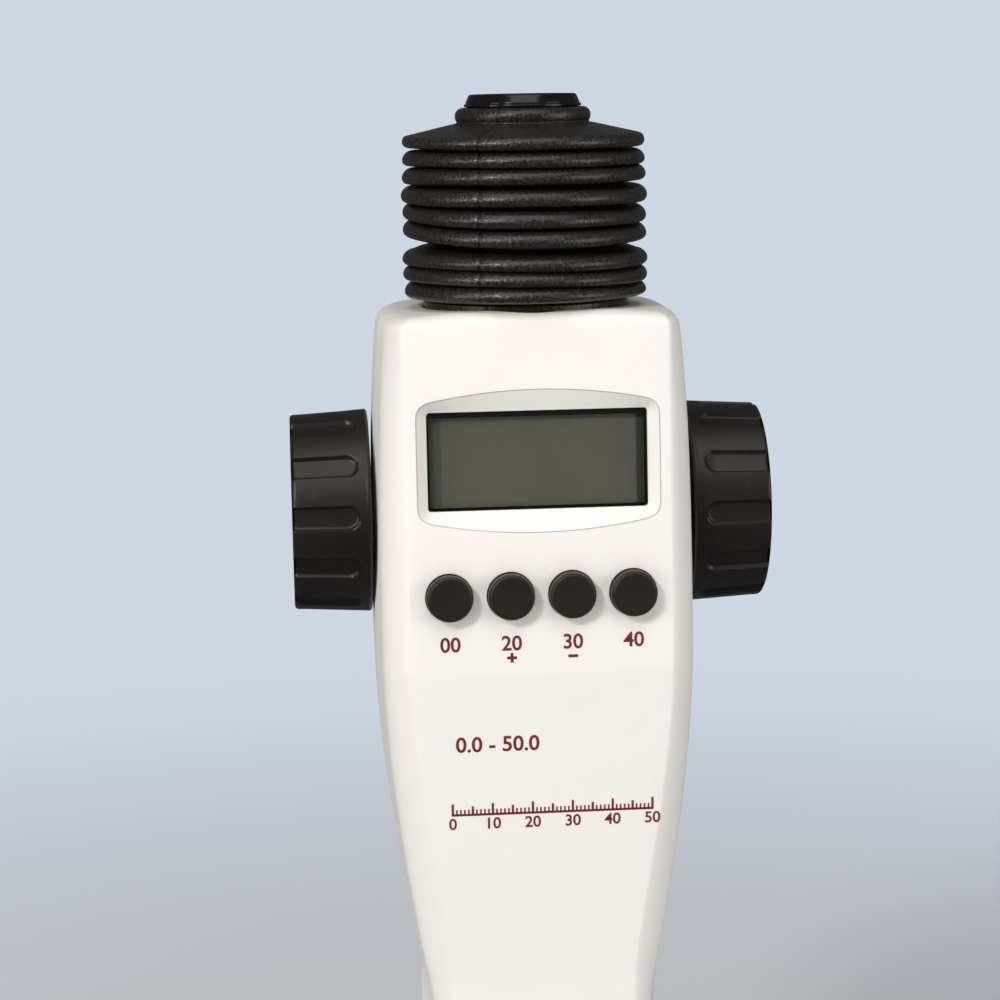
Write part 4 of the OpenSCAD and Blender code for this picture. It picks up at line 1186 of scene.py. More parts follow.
@dataclass
class Housing:
    """Both shells and the battery door."""

    surface: HousingSurface = field(default_factory=HousingSurface)
    wall: float = 2.0
    gap: float = 0.13
    window: tuple[float, float] = (46.8, 21.0)
    recess: tuple[float, float] = (51.4, 30.2)
    recess_bow: float = 2.9
    recess_depth: float = 2.6
    window_v: float = 45.2
    well_depth: float = 4.6
    key_pitch: float = 13.0
    key_v: float = 16.8
    key_hole_r: float = 5.06
    groove_w: float = 0.2
    groove_depth: float = 0.45
    key_count: int = 4
    seat_r: float = 22.4
    seat_z: float = 244.8
    rod_r: float = 7.0
    glass_r: float = 16.5
    shaft_hole_r: float = 5.0
    shaft: tuple[float, float] = (8.5, 200.0)
    bay: tuple[float, float, float] = (11.5, 141.5, 189.7)
    bay_front_y: float = 14.4
    bay_wall: float = 1.2
    rim: float = 1.4
    well_r: float = 2.8
    well_mouth_r: float = 3.6
    screws: tuple[tuple[float, float], ...] = ((27.4, 236.5), (24.4, 145.0))

    def display_cutter(self) -> Shape:
        """The sloped recess and the opening behind it, with a low step at its rim."""
        (w, h), (iw, ih) = self.recess, self.window
        steps = [(0.1, -1.0), (0.1, -0.02), (0.03, 0.03), (-0.04, 0.06)]
        outer = [(slab_outline(w + 2 * o, h + 2 * o, self.recess_bow, 3.0 + o), d)
                 for o, d in steps]
        inner = [(slab_outline(iw, ih, 0.0, 0.9), d)
                 for d in (self.recess_depth, self.well_depth + 2)]
        rings = np.stack([np.c_[p, np.full(len(p), d)] for p, d in outer + inner])
        return closed_rings(rings).moved(facing(self.surface.panel(), 0, 0, self.window_v))

    def groove(self) -> Shape:
        """The fine groove round the recess: a band of constant width, pressed in."""
        (w, h), half = self.recess, self.groove_w / 2
        path = [(half, -1.0), (half, self.groove_depth), (-half, self.groove_depth), (-half, -1.0)]
        rings = np.stack([np.c_[slab_outline(w + 2 * o, h + 2 * o, self.recess_bow, 3.0 + o),
                                np.full(len(slab_outline(w, h, 0, 3.0)), d)] for o, d in path])
        return closed_grid(rings).moved(facing(self.surface.panel(), 0, 0, self.window_v))

    def key_cutters(self) -> Shape:
        """Four key holes with a soft rim."""
        r = self.key_hole_r
        rim = rounded([(r + 0.3, -1), (r + 0.1, 0.0), (r, 0.15), (r, 4)], 0.1, 4)
        hole = turned(np.vstack([[(0, -1)], rim, [(0, 4)]]), 72)
        middle = (self.key_count - 1) / 2
        return sum_shapes([hole.moved(facing(self.surface.panel(), (i - middle) * self.key_pitch, 0,
                                             self.key_v)) for i in range(self.key_count)])

    def screw_wells(self) -> list[Shape]:
        """The wells of the four screws in the back, each with a wider mouth."""
        mouth_y = self.surface.head_back - 0.5
        wall = rounded([(self.well_r, 4), (self.well_r, mouth_y),
                        (self.well_mouth_r, mouth_y + 0.8), (self.well_mouth_r, 40)], 0.3, 3)
        well = turned(np.vstack([[(0, 4)], wall, [(0, 40)]]), 40)
        return [well.moved(along_y(side * x, 0, z)) for x, z in self.screws for side in (-1, 1)]

    def openings(self) -> list[Shape]:
        """What is cut from the body: display, groove, keys, bellows' seat, rod, glass, shaft,
        battery bay with its rim, and screw wells."""
        half_bay, low, high = self.bay
        middle = along_y(0, 0, (low + high) / 2)
        bay = slab_outline(2 * half_bay, high - low, 0, 1.0)
        bay_rim = slab_outline(2 * (half_bay + self.rim), high - low + 2 * self.rim, 0, 1.6)
        return [self.display_cutter(), self.groove(), self.key_cutters(),
                cylinder(self.seat_r, self.seat_z, 260, 128), cylinder(self.rod_r, 240, 250, 48),
                cylinder(self.glass_r, 45, 53, 96),
                cylinder(self.shaft_hole_r, 0, 100, 48).moved(along_x(-50, *self.shaft)),
                prism(bay, [self.bay_front_y, 40]).moved(middle),
                prism(bay_rim, [self.surface.head_back - 1, 40]).moved(middle),
                *self.screw_wells()]

    def hollow(self) -> Shape:
        """The hollow body with every opening, before it is split."""
        s, wall = self.surface, self.bay_wall
        half_bay, low, high = self.bay
        well = prism(slab_outline(self.recess[0] + 2, self.recess[1] + 1, 0, 1.0),
                     [1.0, self.well_depth])
        walls = box_shape((-half_bay - wall, self.bay_front_y - wall, low - wall),
                          (half_bay + wall, s.head_back - 0.6, high + wall))
        return carve(s.body(s.base_z, 0), [
            ("DIFFERENCE", s.body(s.base_z + self.wall, self.wall)),
            ("UNION", well.moved(facing(s.panel(), 0, 0, self.window_v))), ("UNION", walls),
            *[("DIFFERENCE", opening) for opening in self.openings()]])

    def shells(self) -> None:
        """Splits the hollow body at the parting plane into the two shells."""
        whole = self.hollow()
        y = self.surface.split_y
        front = carve(whole, [("INTERSECT", box_shape((-80, -80, 0), (80, y - self.gap, 300)))])
        rear = carve(whole, [("INTERSECT", box_shape((-80, y + self.gap, 0), (80, 80, 300)))])
        make_piece("housing_front", front, HOUSING, "housing", ("front_shell",), 24.0)
        make_piece("housing_rear", rear, HOUSING, "housing", ("rear_shell",), 24.0)

    def door(self) -> None:
        """The battery door with its grip ribs and its two clips."""
        half_bay, low, high = self.bay
        reach, lip = 1.15, self.surface.head_back
        outline = slab_outline(2 * (half_bay + reach), high - low + 2 * reach, 0, 1.5)
        plate = prism(outline, [lip - 1, lip - 0.35, lip - 0.1, lip], [0, 0, -0.1, -0.35])
        place = along_y(0, 0, (low + high) / 2)
        ribs = [prism(slab_outline(12, 0.9, 0, 0.4, 6), [lip - 0.5, lip + 0.5]).moved(
            along_y(0, 0, low + 5 + 2.2 * i)) for i in range(5)]
        body = carve(plate.moved(place), [("DIFFERENCE", sum_shapes(ribs))])
        clips = sum_shapes([
            box_shape((x - 0.4, lip - 3.4, low + 10), (x + 0.4, lip - 1.02, low + 18))
            for x in (0.6 - half_bay, half_bay - 0.6)])
        make_piece("battery_door", body + clips, DOOR, "cover", ("battery_cover",))

    def build(self) -> None:
        """Makes the shells and the door."""
        self.shells()
        self.door()


def sum_shapes(shapes: Sequence[Shape]) -> Shape:
    """Several shapes in one.

    Args:
        shapes: the shapes.

    Returns:
        Their sum.
    """
    total = shapes[0]
    for shape in shapes[1:]:
        total = total + shape
    return total


# ------------------------------------------------------------------ print
@dataclass
class PanelPrint:
    """Numbers and signs under the keys, the range and a graduated line on the slope."""

    key_numbers: tuple[str, ...] = ("00", "20", "30", "40")
    surface: HousingSurface = field(default_factory=HousingSurface)
    key_pitch: float = 13.0
    proud: float = 0.035
    lift: float = 0.005
    number_v: float = 5.2
    number_size: float = 4.4
    sign_v: float = 3.55
    sign: float = 2.1
    stroke: float = 0.62
    range_x: float = -9.8
    range_v: float = -16.9
    range_size: float = 4.7
    scale_x: float = 1.9
    scale_v: float = -31.0
    scale_w: float = 43.0
    scale_marks: int = 50

    def sheet(self, outlines: Sequence[Array], base: Matrix) -> Shape:
        """Thin plates over closed outlines.

        Args:
            outlines: outlines across and up the panel.
            base: the panel's frame.

        Returns:
            The plates.
        """
        return sum_shapes([prism(o - o.mean(0), [-self.proud, 0.05]).moved(
            facing(base, float(o[:, 0].mean()), 0, float(o[:, 1].mean()))) for o in outlines])

    @staticmethod
    def bar(x: float, y: float, width: float, height: float) -> Array:
        """A bar about a point, with points along its sides.

        Args:
            x: its middle across.
            y: its middle up.
            width: its width.
            height: its height.

        Returns:
            Its outline.
        """
        return slab_outline(width, height, 0, min(width, height) * 0.12, 3) + (x, y)

    def plus(self, x: float, y: float) -> Array:
        """A plus sign about a point, as one outline of twelve corners."""
        far, near = self.sign / 2, self.stroke / 2
        arm = np.array([(near, near), (near, far), (-near, far)])
        quarter = np.array([[0.0, 1.0], [-1.0, 0.0]])
        turns = [arm @ np.linalg.matrix_power(quarter, k) for k in range(4)]
        return np.vstack(turns) + (x, y)

    def figures(self, text: str, x: float, y: float, size: float, base: Matrix) -> Shape:
        """Plain figures as thin plates.

        Args:
            text: the figures.
            x: their middle across.
            y: their foot.
            size: height of the type.
            base: the panel's frame.

        Returns:
            The plates.
        """
        curve = bpy.data.curves.new("figures", "FONT")
        curve.body, curve.size, curve.align_x = text, size, "CENTER"
        curve.offset, curve.extrude, curve.resolution_u = size * 0.018, 0.04, 6
        holder = placed("figures", curve)
        plates = evaluated(holder)
        bpy.data.objects.remove(holder)
        return plates.moved(facing(base, x, self.lift, y))

    def signs(self) -> Shape:
        """A number under each key, and a plus and a minus under the two in the middle."""
        panel = self.surface.panel()
        x = [(i - 1.5) * self.key_pitch for i in range(4)]
        marks = self.sheet([self.plus(x[1], self.sign_v),
                            self.bar(x[2], self.sign_v, self.sign, self.stroke)], panel)
        numbers = [self.figures(text, at, self.number_v, self.number_size, panel)
                   for text, at in zip(self.key_numbers, x)]
        return sum_shapes([marks, *numbers])

    def scale(self) -> Shape:
        """The range in figures, and a ruled line with long, middle and short marks over it."""
        slope = self.surface.slope()
        low, step = self.scale_x - self.scale_w / 2, self.scale_w / self.scale_marks
        tall = [2.5 if i % 10 == 0 else 1.9 if i % 5 == 0 else 1.2
                for i in range(self.scale_marks + 1)]
        marks = [self.bar(low + step * i, self.scale_v + h / 2, 0.36 if i % 5 else 0.5, h)
                 for i, h in enumerate(tall)]
        line = self.bar(self.scale_x, self.scale_v, self.scale_w + 0.5, 0.5)
        numbers = [self.figures(str(i), low + step * i, self.scale_v - 3.2, 3.5, slope)
                   for i in range(0, self.scale_marks + 1, 10)]
        whole = self.figures(f"0.0 - {self.scale_marks}.0", self.range_x, self.range_v,
                             self.range_size, slope)
        return sum_shapes([self.sheet([*marks, line], slope), *numbers, whole])

    def build(self) -> None:
        """Prints the signs on the panel and the scale on the slope."""
        make_piece("key_signs", self.signs(), PRINT, "housing")
        make_piece("graduation", self.scale(), PRINT, "housing")


# ------------------------------------------------------------------ keys
@dataclass
class KeyRow:
    """Four round push keys that stand out of the panel."""

    surface: HousingSurface = field(default_factory=HousingSurface)
    names: tuple[str, ...] = ("reset", "plus", "minus", "memory")
    pitch: float = 13.0
    up: float = 16.8
    radius: float = 4.9
    rise: float = 3.4
    flange_r: float = 6.0
    flange: tuple[float, float] = (2.15, 3.15)
    stem_end: float = 6.7

    def profile(self) -> Array:
        """Half of the key's section: dished cap, soft rim, flange and stem."""
        r, top = self.radius, -self.rise
        low, high = self.flange
        return rounded([(0, top + 0.12), (2.0, top + 0.1), (r - 1.1, top + 0.02), (r - 0.45, top),
                        (r, top + 0.6), (r, low), (self.flange_r, low), (self.flange_r, high),
                        (2.0, high), (2.0, self.stem_end), (0, self.stem_end)],
                       [0.9, 0.7, 0.5, 0.5, 0.1, 0.2, 0.2, 0.2, 0.1], 5)

    def build(self) -> None:
        """Makes the four keys, each on its own body."""
        key, middle = turned(self.profile(), 72), (len(self.names) - 1) / 2
        for index, name in enumerate(self.names):
            place = facing(self.surface.panel(), (index - middle) * self.pitch, 0, self.up)
            make_piece(f"key_cap_{name}", key.moved(place), KEY, f"{name}_key", (f"key_{name}",))


# ------------------------------------------------------------------ handwheels
@dataclass
class Handwheels:
    """The pair of fluted handwheels on the drive shaft."""

    start_x: float = 34.82
    shaft: tuple[float, float] = (8.5, 200.0)
    radius: float = 22.4
    rim_r: float = 21.5
    width: float = 17.0
    dish_r: float = 17.0
    dish_depth: float = 1.2
    well_r: float = 7.2
    bore_r: float = 3.05
    well_z: float = 12.2
    flutes: int = 12
    flute_phase: float = 0.85
    right_phase: float = 0.96
    flute_w: float = 5.4
    flute_depth: float = 1.0
    flute_start: float = 2.5
    segments: int = 504

    def profile(self) -> tuple[Array, Array]:
        """The section from the bore round the rim to the well, and where flutes may bite.

        Returns:
            Radius and distance from the housing of each point, and a mask of the outer wall.
        """
        w, dish = self.width, self.width - self.dish_depth
        inner = rounded([(self.bore_r, 0), (self.radius - 3.2, 0), (self.radius - 2.6, 0.0),
                         (self.radius, 0.0), (self.radius, 2)], [0.1, 0.1, 0.8], 5)[:-1]
        wall_z = span(1.0, w - 1.9, 46)
        wall = np.stack([self.radius + (self.rim_r - self.radius) * wall_z / (w - 1), wall_z], -1)
        rim = rounded([wall[-1], (self.rim_r, w), (self.dish_r, w), (self.dish_r - 0.5, dish),
                       (self.well_r, dish), (self.well_r, self.well_z), (self.bore_r, self.well_z)],
                      [1.75, 0.45, 0.4, 0.15, 0.1], 7)[1:]
        points = np.vstack([inner, wall, rim])
        bite = np.zeros(len(points))
        bite[len(inner):len(inner) + len(wall) + 6] = 1
        return points, bite

    def shape(self, phase: float) -> Shape:
        """The wheel about its own axis: r(angle, z) is the profile less a groove that has a flat
        floor, steep sides and a round end.

        Args:
            phase: place of the first flute, in flutes.

        Returns:
            The wheel.
        """
        points, bite = self.profile()
        angle = steps_round(self.segments)
        step = FULL_TURN / self.flutes
        off = (angle / step - phase + 0.5) % 1 - 0.5
        across = off * step * self.radius
        reach = self.flute_w / 2
        along = np.maximum(0, self.flute_start + reach - points[:, 1])[:, None]
        far = np.hypot(across[None, :], along)
        soft = np.clip((reach - far) / 0.55, 0, 1)
        groove = self.flute_depth * (0.72 * soft * soft * (3 - 2 * soft)
                                     + 0.28 * np.clip(1 - (far / reach) ** 2, 0, 1))
        r = points[:, :1] - bite[:, None] * groove
        return closed_grid(polar(r, angle, points[:, 1:]))

    def build(self) -> None:
        """Makes both wheels with their cover discs."""
        place = along_x(self.start_x, *self.shaft)
        right, left = (self.shape(p).moved(place) for p in (self.right_phase, self.flute_phase))
        make_piece("wheel_right", right, WHEEL, "handwheels", ("handwheel_right",), 40.0)
        make_piece("wheel_left", left.mirrored(), WHEEL, "handwheels", ("handwheel_left",), 40.0)
        top, r = self.width - self.dish_depth, self.well_r - 0.06
        cap = turned(rounded([(0, top - 1.7), (r, top - 1.7), (r, top), (r - 1.6, top + 0.12),
                              (0, top + 0.3)], [0.2, 0.35, 0.6], 6), 96).moved(place)
        make_piece("wheel_discs", cap + cap.mirrored(), WHEEL_CAP, "handwheels", ("wheel_caps",))


# ------------------------------------------------------------------ bellows
@dataclass(frozen=True)
class Fold:
    """How one fold lies: how far it is lifted, how much higher it is on the right and lower at
    the front, how far it reaches from the axis, and half of its lip's height."""

    lift: float
    right: float
    front: float
    reach: float = 26.4
    half: float = 1.57


@dataclass
class Bellows:
    """The rubber bellows between the crown and the cap on the rod, squeezed down at rest."""

    foot_z: float = 244.8
    foot_t: float = 2.2
    foot_r: float = 22.1
    inner_r: float = 13.2
    root_r: float = 21.4
    deep_root_r: float = 19.6
    skin: float = 0.9
    first_z: float = 249.1
    pitch: float = 3.65
    gap: float = 2.3
    gap_after: int = 3
    droop: float = 1.1
    lip_r: float = 1.75
    lip_wrap: float = math.radians(96)
    flank_share: float = 0.62
    root_round: tuple[float, float] = (0.4, 0.14)
    lean_r: float = 26.4
    shoulder_z: float = 281.3
    seam_spread: float = 0.014
    seam_depth: float = 0.22
    shoulder_seam: float = 0.12
    grip_z: float = 284.6
    grip_h: float = 3.4
    grip_r: float = 14.6
    cap_r: float = 12.6
    screw_r: float = 1.75
    screw_head_r: float = 4.6
    groove_r: float = 11.85
    flange_r: float = 13.3
    seam_turn: float = SEAM_TURN
    segments: int = 288
    folds: tuple[Fold, ...] = (
        Fold(0.0, -0.22, 0.0, 26.2), Fold(-0.26, -0.38, 0.0), Fold(-0.55, -0.3, 0.05),
        Fold(-0.6, -0.55, 1.05, 26.4, 1.68), Fold(-0.45, -0.54, 0.8, 26.4, 1.68),
        Fold(-0.1, -0.24, 0.35, 26.5, 1.72), Fold(0.4, 0.08, 0.0, 26.2, 1.66),
        Fold(0.24, -0.1, 0.0, 26.2), Fold(0.32, -0.1, 0.0, 26.2))

    def heights(self) -> Array:
        """Middle height of each fold."""
        k = np.arange(len(self.folds))
        lift = np.array([fold.lift for fold in self.folds])
        return self.first_z + k * self.pitch + np.where(k >= self.gap_after, self.gap, 0) + lift

    def outline(self, thick: float) -> Array:
        """The outer section from the foot to the grip ring, drawn in by a skin's thickness. A fold
        is a round lip at the end of two flanks that run in to the roots, so the gap is a V.

        Args:
            thick: how far it is drawn in.

        Returns:
            Radius, height, tip to the right and drop at the front of each point.
        """
        z = self.heights()
        tip = np.array([fold.reach for fold in self.folds]) - thick
        tall = np.array([fold.half for fold in self.folds]) - 0.75 * thick
        turn = span(-1, 1, 13) * self.lip_wrap
        lip_r = tip[:, None] - self.lip_r + self.lip_r * np.cos(turn)
        lip_z = z[:, None] + tall[:, None] * np.sin(turn)
        k = np.arange(len(z) - 1)
        wide = k == self.gap_after - 1
        root_r = np.where(wide, self.deep_root_r, self.root_r) - thick
        root_z = (z[1:] + z[:-1]) / 2
        pose = np.array([(fold.right, fold.front) for fold in self.folds])
        middle = (pose[1:] + pose[:-1]) / 2
        low_r, high_r = (lip * self.flank_share + root_r * (1 - self.flank_share)
                         for lip in (lip_r[:-1, -1], lip_r[1:, 0]))
        rise = np.where(wide, 0.55, 0.12) * (z[1:] - z[:-1] - tall[1:] - tall[:-1]) / 2
        hang = self.droop * (tip[0] - lip_r) / (tip[0] - self.root_r)
        lip_z = lip_z + hang - self.droop / 4
        out, up = self.root_round
        rows = []
        for i in k:
            rows.append(np.c_[lip_r[i], lip_z[i], np.broadcast_to(pose[i], (len(turn), 2))])
            rows.append(np.array([
                (low_r[i], lip_z[i, -1] + rise[i], *pose[i]),
                (root_r[i] + out, root_z[i] - up, *middle[i]), (root_r[i], root_z[i], *middle[i]),
                (root_r[i] + out, root_z[i] + up, *middle[i]),
                (high_r[i], lip_z[i + 1, 0] - rise[i], *pose[i + 1])]))
        last = len(turn) - 3
        rows.append(np.c_[lip_r[-1, :last], lip_z[-1, :last], np.broadcast_to(pose[-1], (last, 2))])
        return np.vstack(rows)

    def section(self) -> Array:
        """The closed section: foot, folds, shoulder, grip ring, and back down inside."""
        top, out = self.grip_z + self.grip_h - 0.1, self.outline(0.0)
        inside = self.outline(self.skin)[::-1]
        foot_top = self.foot_z + self.foot_t
        foot = rounded([(self.inner_r, self.foot_z), (self.foot_r, self.foot_z),
                        (self.foot_r, foot_top), (self.root_r, foot_top + 0.2)], [0.5, 0.7], 6)
        grip = rounded([(self.folds[-1].reach - 1.2, out[-1, 1] + 0.25),
                        (self.grip_r + 1.6, self.grip_z - 0.35),
                        (self.grip_r - 0.5, self.grip_z + 0.1), (self.grip_r, self.grip_z + 0.9),
                        (self.grip_r, top - 1.0), (self.grip_r - 1.0, top), (self.groove_r, top),
                        (self.groove_r, self.grip_z + 0.1), (self.flange_r, self.grip_z + 0.1),
                        (self.flange_r + 0.3, self.grip_z - 1.6),
                        (self.folds[-1].reach - 3.6, inside[0, 1] + 0.3)],
                       [1.2, 0.7, 0.9, 0.9, 0.9, 0.3, 0.1, 0.1, 0.3], 6)
        low = np.array([(self.root_r - self.skin, foot_top), (self.inner_r, foot_top)])

        def level(points: Array) -> Array:
            """Points that aren't tipped."""
            return np.c_[points, np.zeros((len(points), 2))]

        return np.vstack([level(foot), out, level(grip), inside, level(low)])

    def shape(self) -> Shape:
        """The skin: each fold is a ring that is tipped and a little uneven round the axis,
        z = h + (right cos(a) + front sin(a)) r/R + waviness, and the mould's seam runs across
        the lips and the shoulder as a narrow groove."""
        rows = self.section()
        angle = steps_round(self.segments)
        r, z, right, front = (rows[:, i:i + 1] for i in range(4))
        part = np.clip((r - self.root_r + 2) / 5, 0, 1)
        wave = 0.10 * np.sin(2 * angle[None] + 0.25 * z) + 0.06 * np.sin(3 * angle[None] + 0.4 * z)
        calm = np.clip((z - self.foot_z - 3) / 3, 0, 1) * np.clip((self.grip_z - 1.6 - z) / 2, 0, 1)
        lean = (right * np.cos(angle[None]) + front * np.sin(angle[None])) * r / self.lean_r
        off = [(angle[None] - at + math.pi) % FULL_TURN - math.pi
               for at in (self.seam_turn, self.seam_turn - math.pi)]
        seams = sum(np.exp(-(turn / self.seam_spread) ** 2) for turn in off)
        shoulder = np.clip((z - self.shoulder_z) / 0.6, 0, 1) \
            * np.clip((self.grip_z + 3.2 - z) / 0.4, 0, 1)
        outer = (np.arange(len(rows)) < len(rows) * 0.56)[:, None]
        height = z + calm * (lean + wave * part)
        radius = r + calm * part * 0.12 * np.sin(angle[None] * 2 + z * 0.4) \
            - outer * seams * (self.seam_depth * (part > 0.5) + self.shoulder_seam * shoulder)
        return closed_grid(polar(radius, angle, height).transpose(1, 0, 2))

    def cap(self) -> Shape:
        """The polished cap: flange under the rubber, groove, lip, and a step with a sunk middle."""
        z, h = self.grip_z, self.grip_h
        foot, top, r = z + h, z + h + 2.7, self.cap_r
        bore, well = self.screw_r, self.screw_head_r
        section = [(bore, z - 1.5), (13.0, z - 1.5), (13.0, z - 0.1), (11.8, z), (11.8, foot),
                   (r, foot + 0.06), (r + 0.02, foot + 0.62), (r - 0.42, foot + 0.72),
                   (r - 0.34, foot + 0.95), (r - 0.95, top - 0.35), (r - 1.25, top), (r - 2.1, top),
                   (r - 2.5, top - 0.75), (well, top - 0.85), (well, top - 2.4), (bore, top - 2.4),
                   (bore, z - 1.5)]
        soft = [0.2, 0.1, 0.05, 0.05, 0.2, 0.22, 0.1, 0.1, 0.3, 0.35, 0.35, 0.3, 0.3, 0.1, 0.1]
        return tube_ring(rounded(section, soft, 5), 160)

    def build(self) -> None:
        """Makes the bellows, on no body with its place baked into its mesh, and the cap, which
        rides on the rod.
        """
        skin = make_piece("bellows_skin", self.shape(), BELLOWS, None, ("bellows",), 60.0)
        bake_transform(skin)
        make_piece("rod_cap", self.cap(), CAP, "piston_rod", ("bellows_cap",))


# ------------------------------------------------------------------ lower end
@dataclass
class ValveEnd:
    """The valve block, its lever, the tube with its nut and cap, and the bottle collar."""

    block_r: float = 22.0
    block: tuple[float, float] = (20.3, 50.0)
    collar_r: float = 28.0
    collar_h: float = 20.0
    neck_r: float = 22.3
    plug_bore_r: float = 3.05
    glass_bore_r: float = 16.25
    passage_r: float = 1.8
    chamber_r: float = 3.0
    nipple_bore_r: float = 4.52
    outlet_bore_r: float = 1.4
    vent_bore_r: float = 3.02
    outlet_z: float = 35.7
    outlet_y: float = -30.0
    lever: tuple[float, float, float] = (22.6, -8.0, 29.5)
    tube_r: float = 2.2
    tube_bore_r: float = 1.0
    tube_segments: int = 28
    reach: float = 92.0
    bend_r: float = 12.0
    tip_z: float = 4.0

    def block_shape(self) -> Shape:
        """The block with its neck flange, the outlet's boss and its bores: lever's plug, glass,
        passage, both check ball chambers, suction nipple, outlet and vent."""
        low, high = self.block
        r, neck, seat = self.block_r, 19.0, 21.6
        section = [(0, 14.5), (seat, 14.5), (seat, 17.6), (neck, 17.6), (neck, low), (r, low),
                   (r, low + 9), (r - 0.25, low + 9.3), (r - 0.25, low + 9.9), (r, low + 10.2),
                   (r, high - 3), (r, high), (0, high)]
        soft = [0.3, 0.3, 0.3, 0.1, 0.9, 0.1, 0.15, 0.15, 0.1, 0.1, 1.2]
        boss = turned(rounded([(0, 0), (5, 0), (5, 10), (0, 10)], [0.5, 0.1], 5), 72).moved(
            along_y(0, self.outlet_y, self.outlet_z))
        chamber = self.chamber_r
        bores = [cylinder(self.plug_bore_r, -5, 60, 60).moved(along_x(0, *self.lever[1:])),
                 cylinder(self.glass_bore_r, 42, 60, 96), cylinder(self.passage_r, 10, 45, 40),
                 cylinder(chamber, 23.5, 29.7, 48), cylinder(self.nipple_bore_r, 14, 19.5, 48),
                 cylinder(self.outlet_bore_r, 0, 15, 32).moved(along_y(0, -31, self.outlet_z)),
                 cylinder(chamber, 0, 6.2, 48).moved(Matrix.Translation((0, -16.2, 31.5))),
                 cylinder(self.vent_bore_r, 16, 40, 48).moved(along_y(0, 0, 30.5))]
        return carve(turned(rounded(section, soft, 6), 144),
                     [("UNION", boss), *[("DIFFERENCE", bore) for bore in bores]])

    def lever_shape(self) -> Shape:
        """The tapered plug with its round base and its lever."""
        hub = turned(rounded([(0, -27.2), (3, -27.2), (3, 0), (8, 0), (8, 5.6), (7.2, 6.2),
                              (0, 6.2)], [0.3, 0.1, 0.5, 0.5, 0.5], 6), 96)
        blade = prism(slab_outline(3.2, 14.8, 0.5, 1.0, 10), [5.5, 11.6, 12.5, 13.0],
                      [0, 0, -0.2, -0.7])
        return carve(hub, [("UNION", blade)]).moved(along_x(*self.lever))

    def tube_shape(self) -> Shape:
        """The tube swept along its run, its bend and its drop, with an open bore."""
        run_y = self.reach - self.bend_r
        turn = span(0, math.pi / 2, 20)
        bend_y = -run_y - self.bend_r * np.sin(turn)
        bend_z = self.outlet_z - self.bend_r * (1 - np.cos(turn))
        y = np.concatenate([span(-30.2, -run_y, 12)[:-1], bend_y, np.full(8, -self.reach)])
        z = np.concatenate([np.full(11, self.outlet_z), bend_z,
                            span(self.outlet_z - self.bend_r, self.tip_z, 9, True)])
        way = np.stack([np.gradient(y), np.gradient(z)], -1)
        way /= np.linalg.norm(way, axis=1, keepdims=True)
        angle = steps_round(self.tube_segments)
        walls = []
        for r in (self.tube_r, self.tube_bore_r):
            x = np.broadcast_to(r * np.cos(angle), (len(y), len(angle)))
            off = r * np.sin(angle)
            walls.append(np.stack([x, y[:, None] - way[:, 1:] * off,
                                   z[:, None] + way[:, :1] * off], -1))
        return closed_grid(np.concatenate([walls[0], walls[1][::-1]]))

    def ribbed(self, profile: Array, ribs: int, depth: float, band: tuple[float, float],
               segments: int) -> Shape:
        """A ring with soft ribs round its outer wall: r less depth (1 - |cos|) inside a band.

        Args:
            profile: closed section, radius and height.
            ribs: how many ribs.
            depth: how deep it is between the ribs.
            band: lowest and highest rib.
            segments: steps round the axis.

        Returns:
            The ribbed ring.
        """
        angle = steps_round(segments)
        wall = (profile[:, 0] > profile[:, 0].max() - 1.2) & (profile[:, 1] > band[0]) \
            & (profile[:, 1] < band[1])
        valley = depth * (1 - np.abs(np.cos(angle * ribs / 2)) ** 0.8)
        r = profile[None, :, 0] - np.where(wall[None], valley[:, None], 0)
        return closed_grid(polar(r, angle[:, None], profile[None, :, 1]))

    def collar_shape(self) -> Shape:
        """The bottle collar: ribbed wall, smooth lip, and a thread inside its mouth."""
        r, h, n = self.collar_r, self.collar_h, self.neck_r
        thread = np.stack([n + 0.35 - 0.35 * np.cos(span(0, 4 * FULL_TURN, 65)),
                           span(1.0, 13.0, 65)], -1)
        roof = rounded([(n + 0.4, 17.9), (19.3, 17.9), (19.3, h), (r - 2.4, h), (r, h - 1.7),
                        (r, h - 3)], [0.1, 0.2, 1.2, 0.6], 6)
        wall = np.stack([np.full(14, r), span(h - 3.4, 1.9, 14)], -1)
        lip = rounded([(r, 1.6), (r - 0.1, 0.9), (r - 1.2, 0.0), (n + 0.9, 0), (n, 0.8)],
                      [0.4, 0.5, 0.5], 5)
        section = np.vstack([roof, wall, lip, thread, [(n + 0.4, 13.4)]])
        return self.ribbed(section, 36, 0.7, (1.3, h - 2.6), 432)

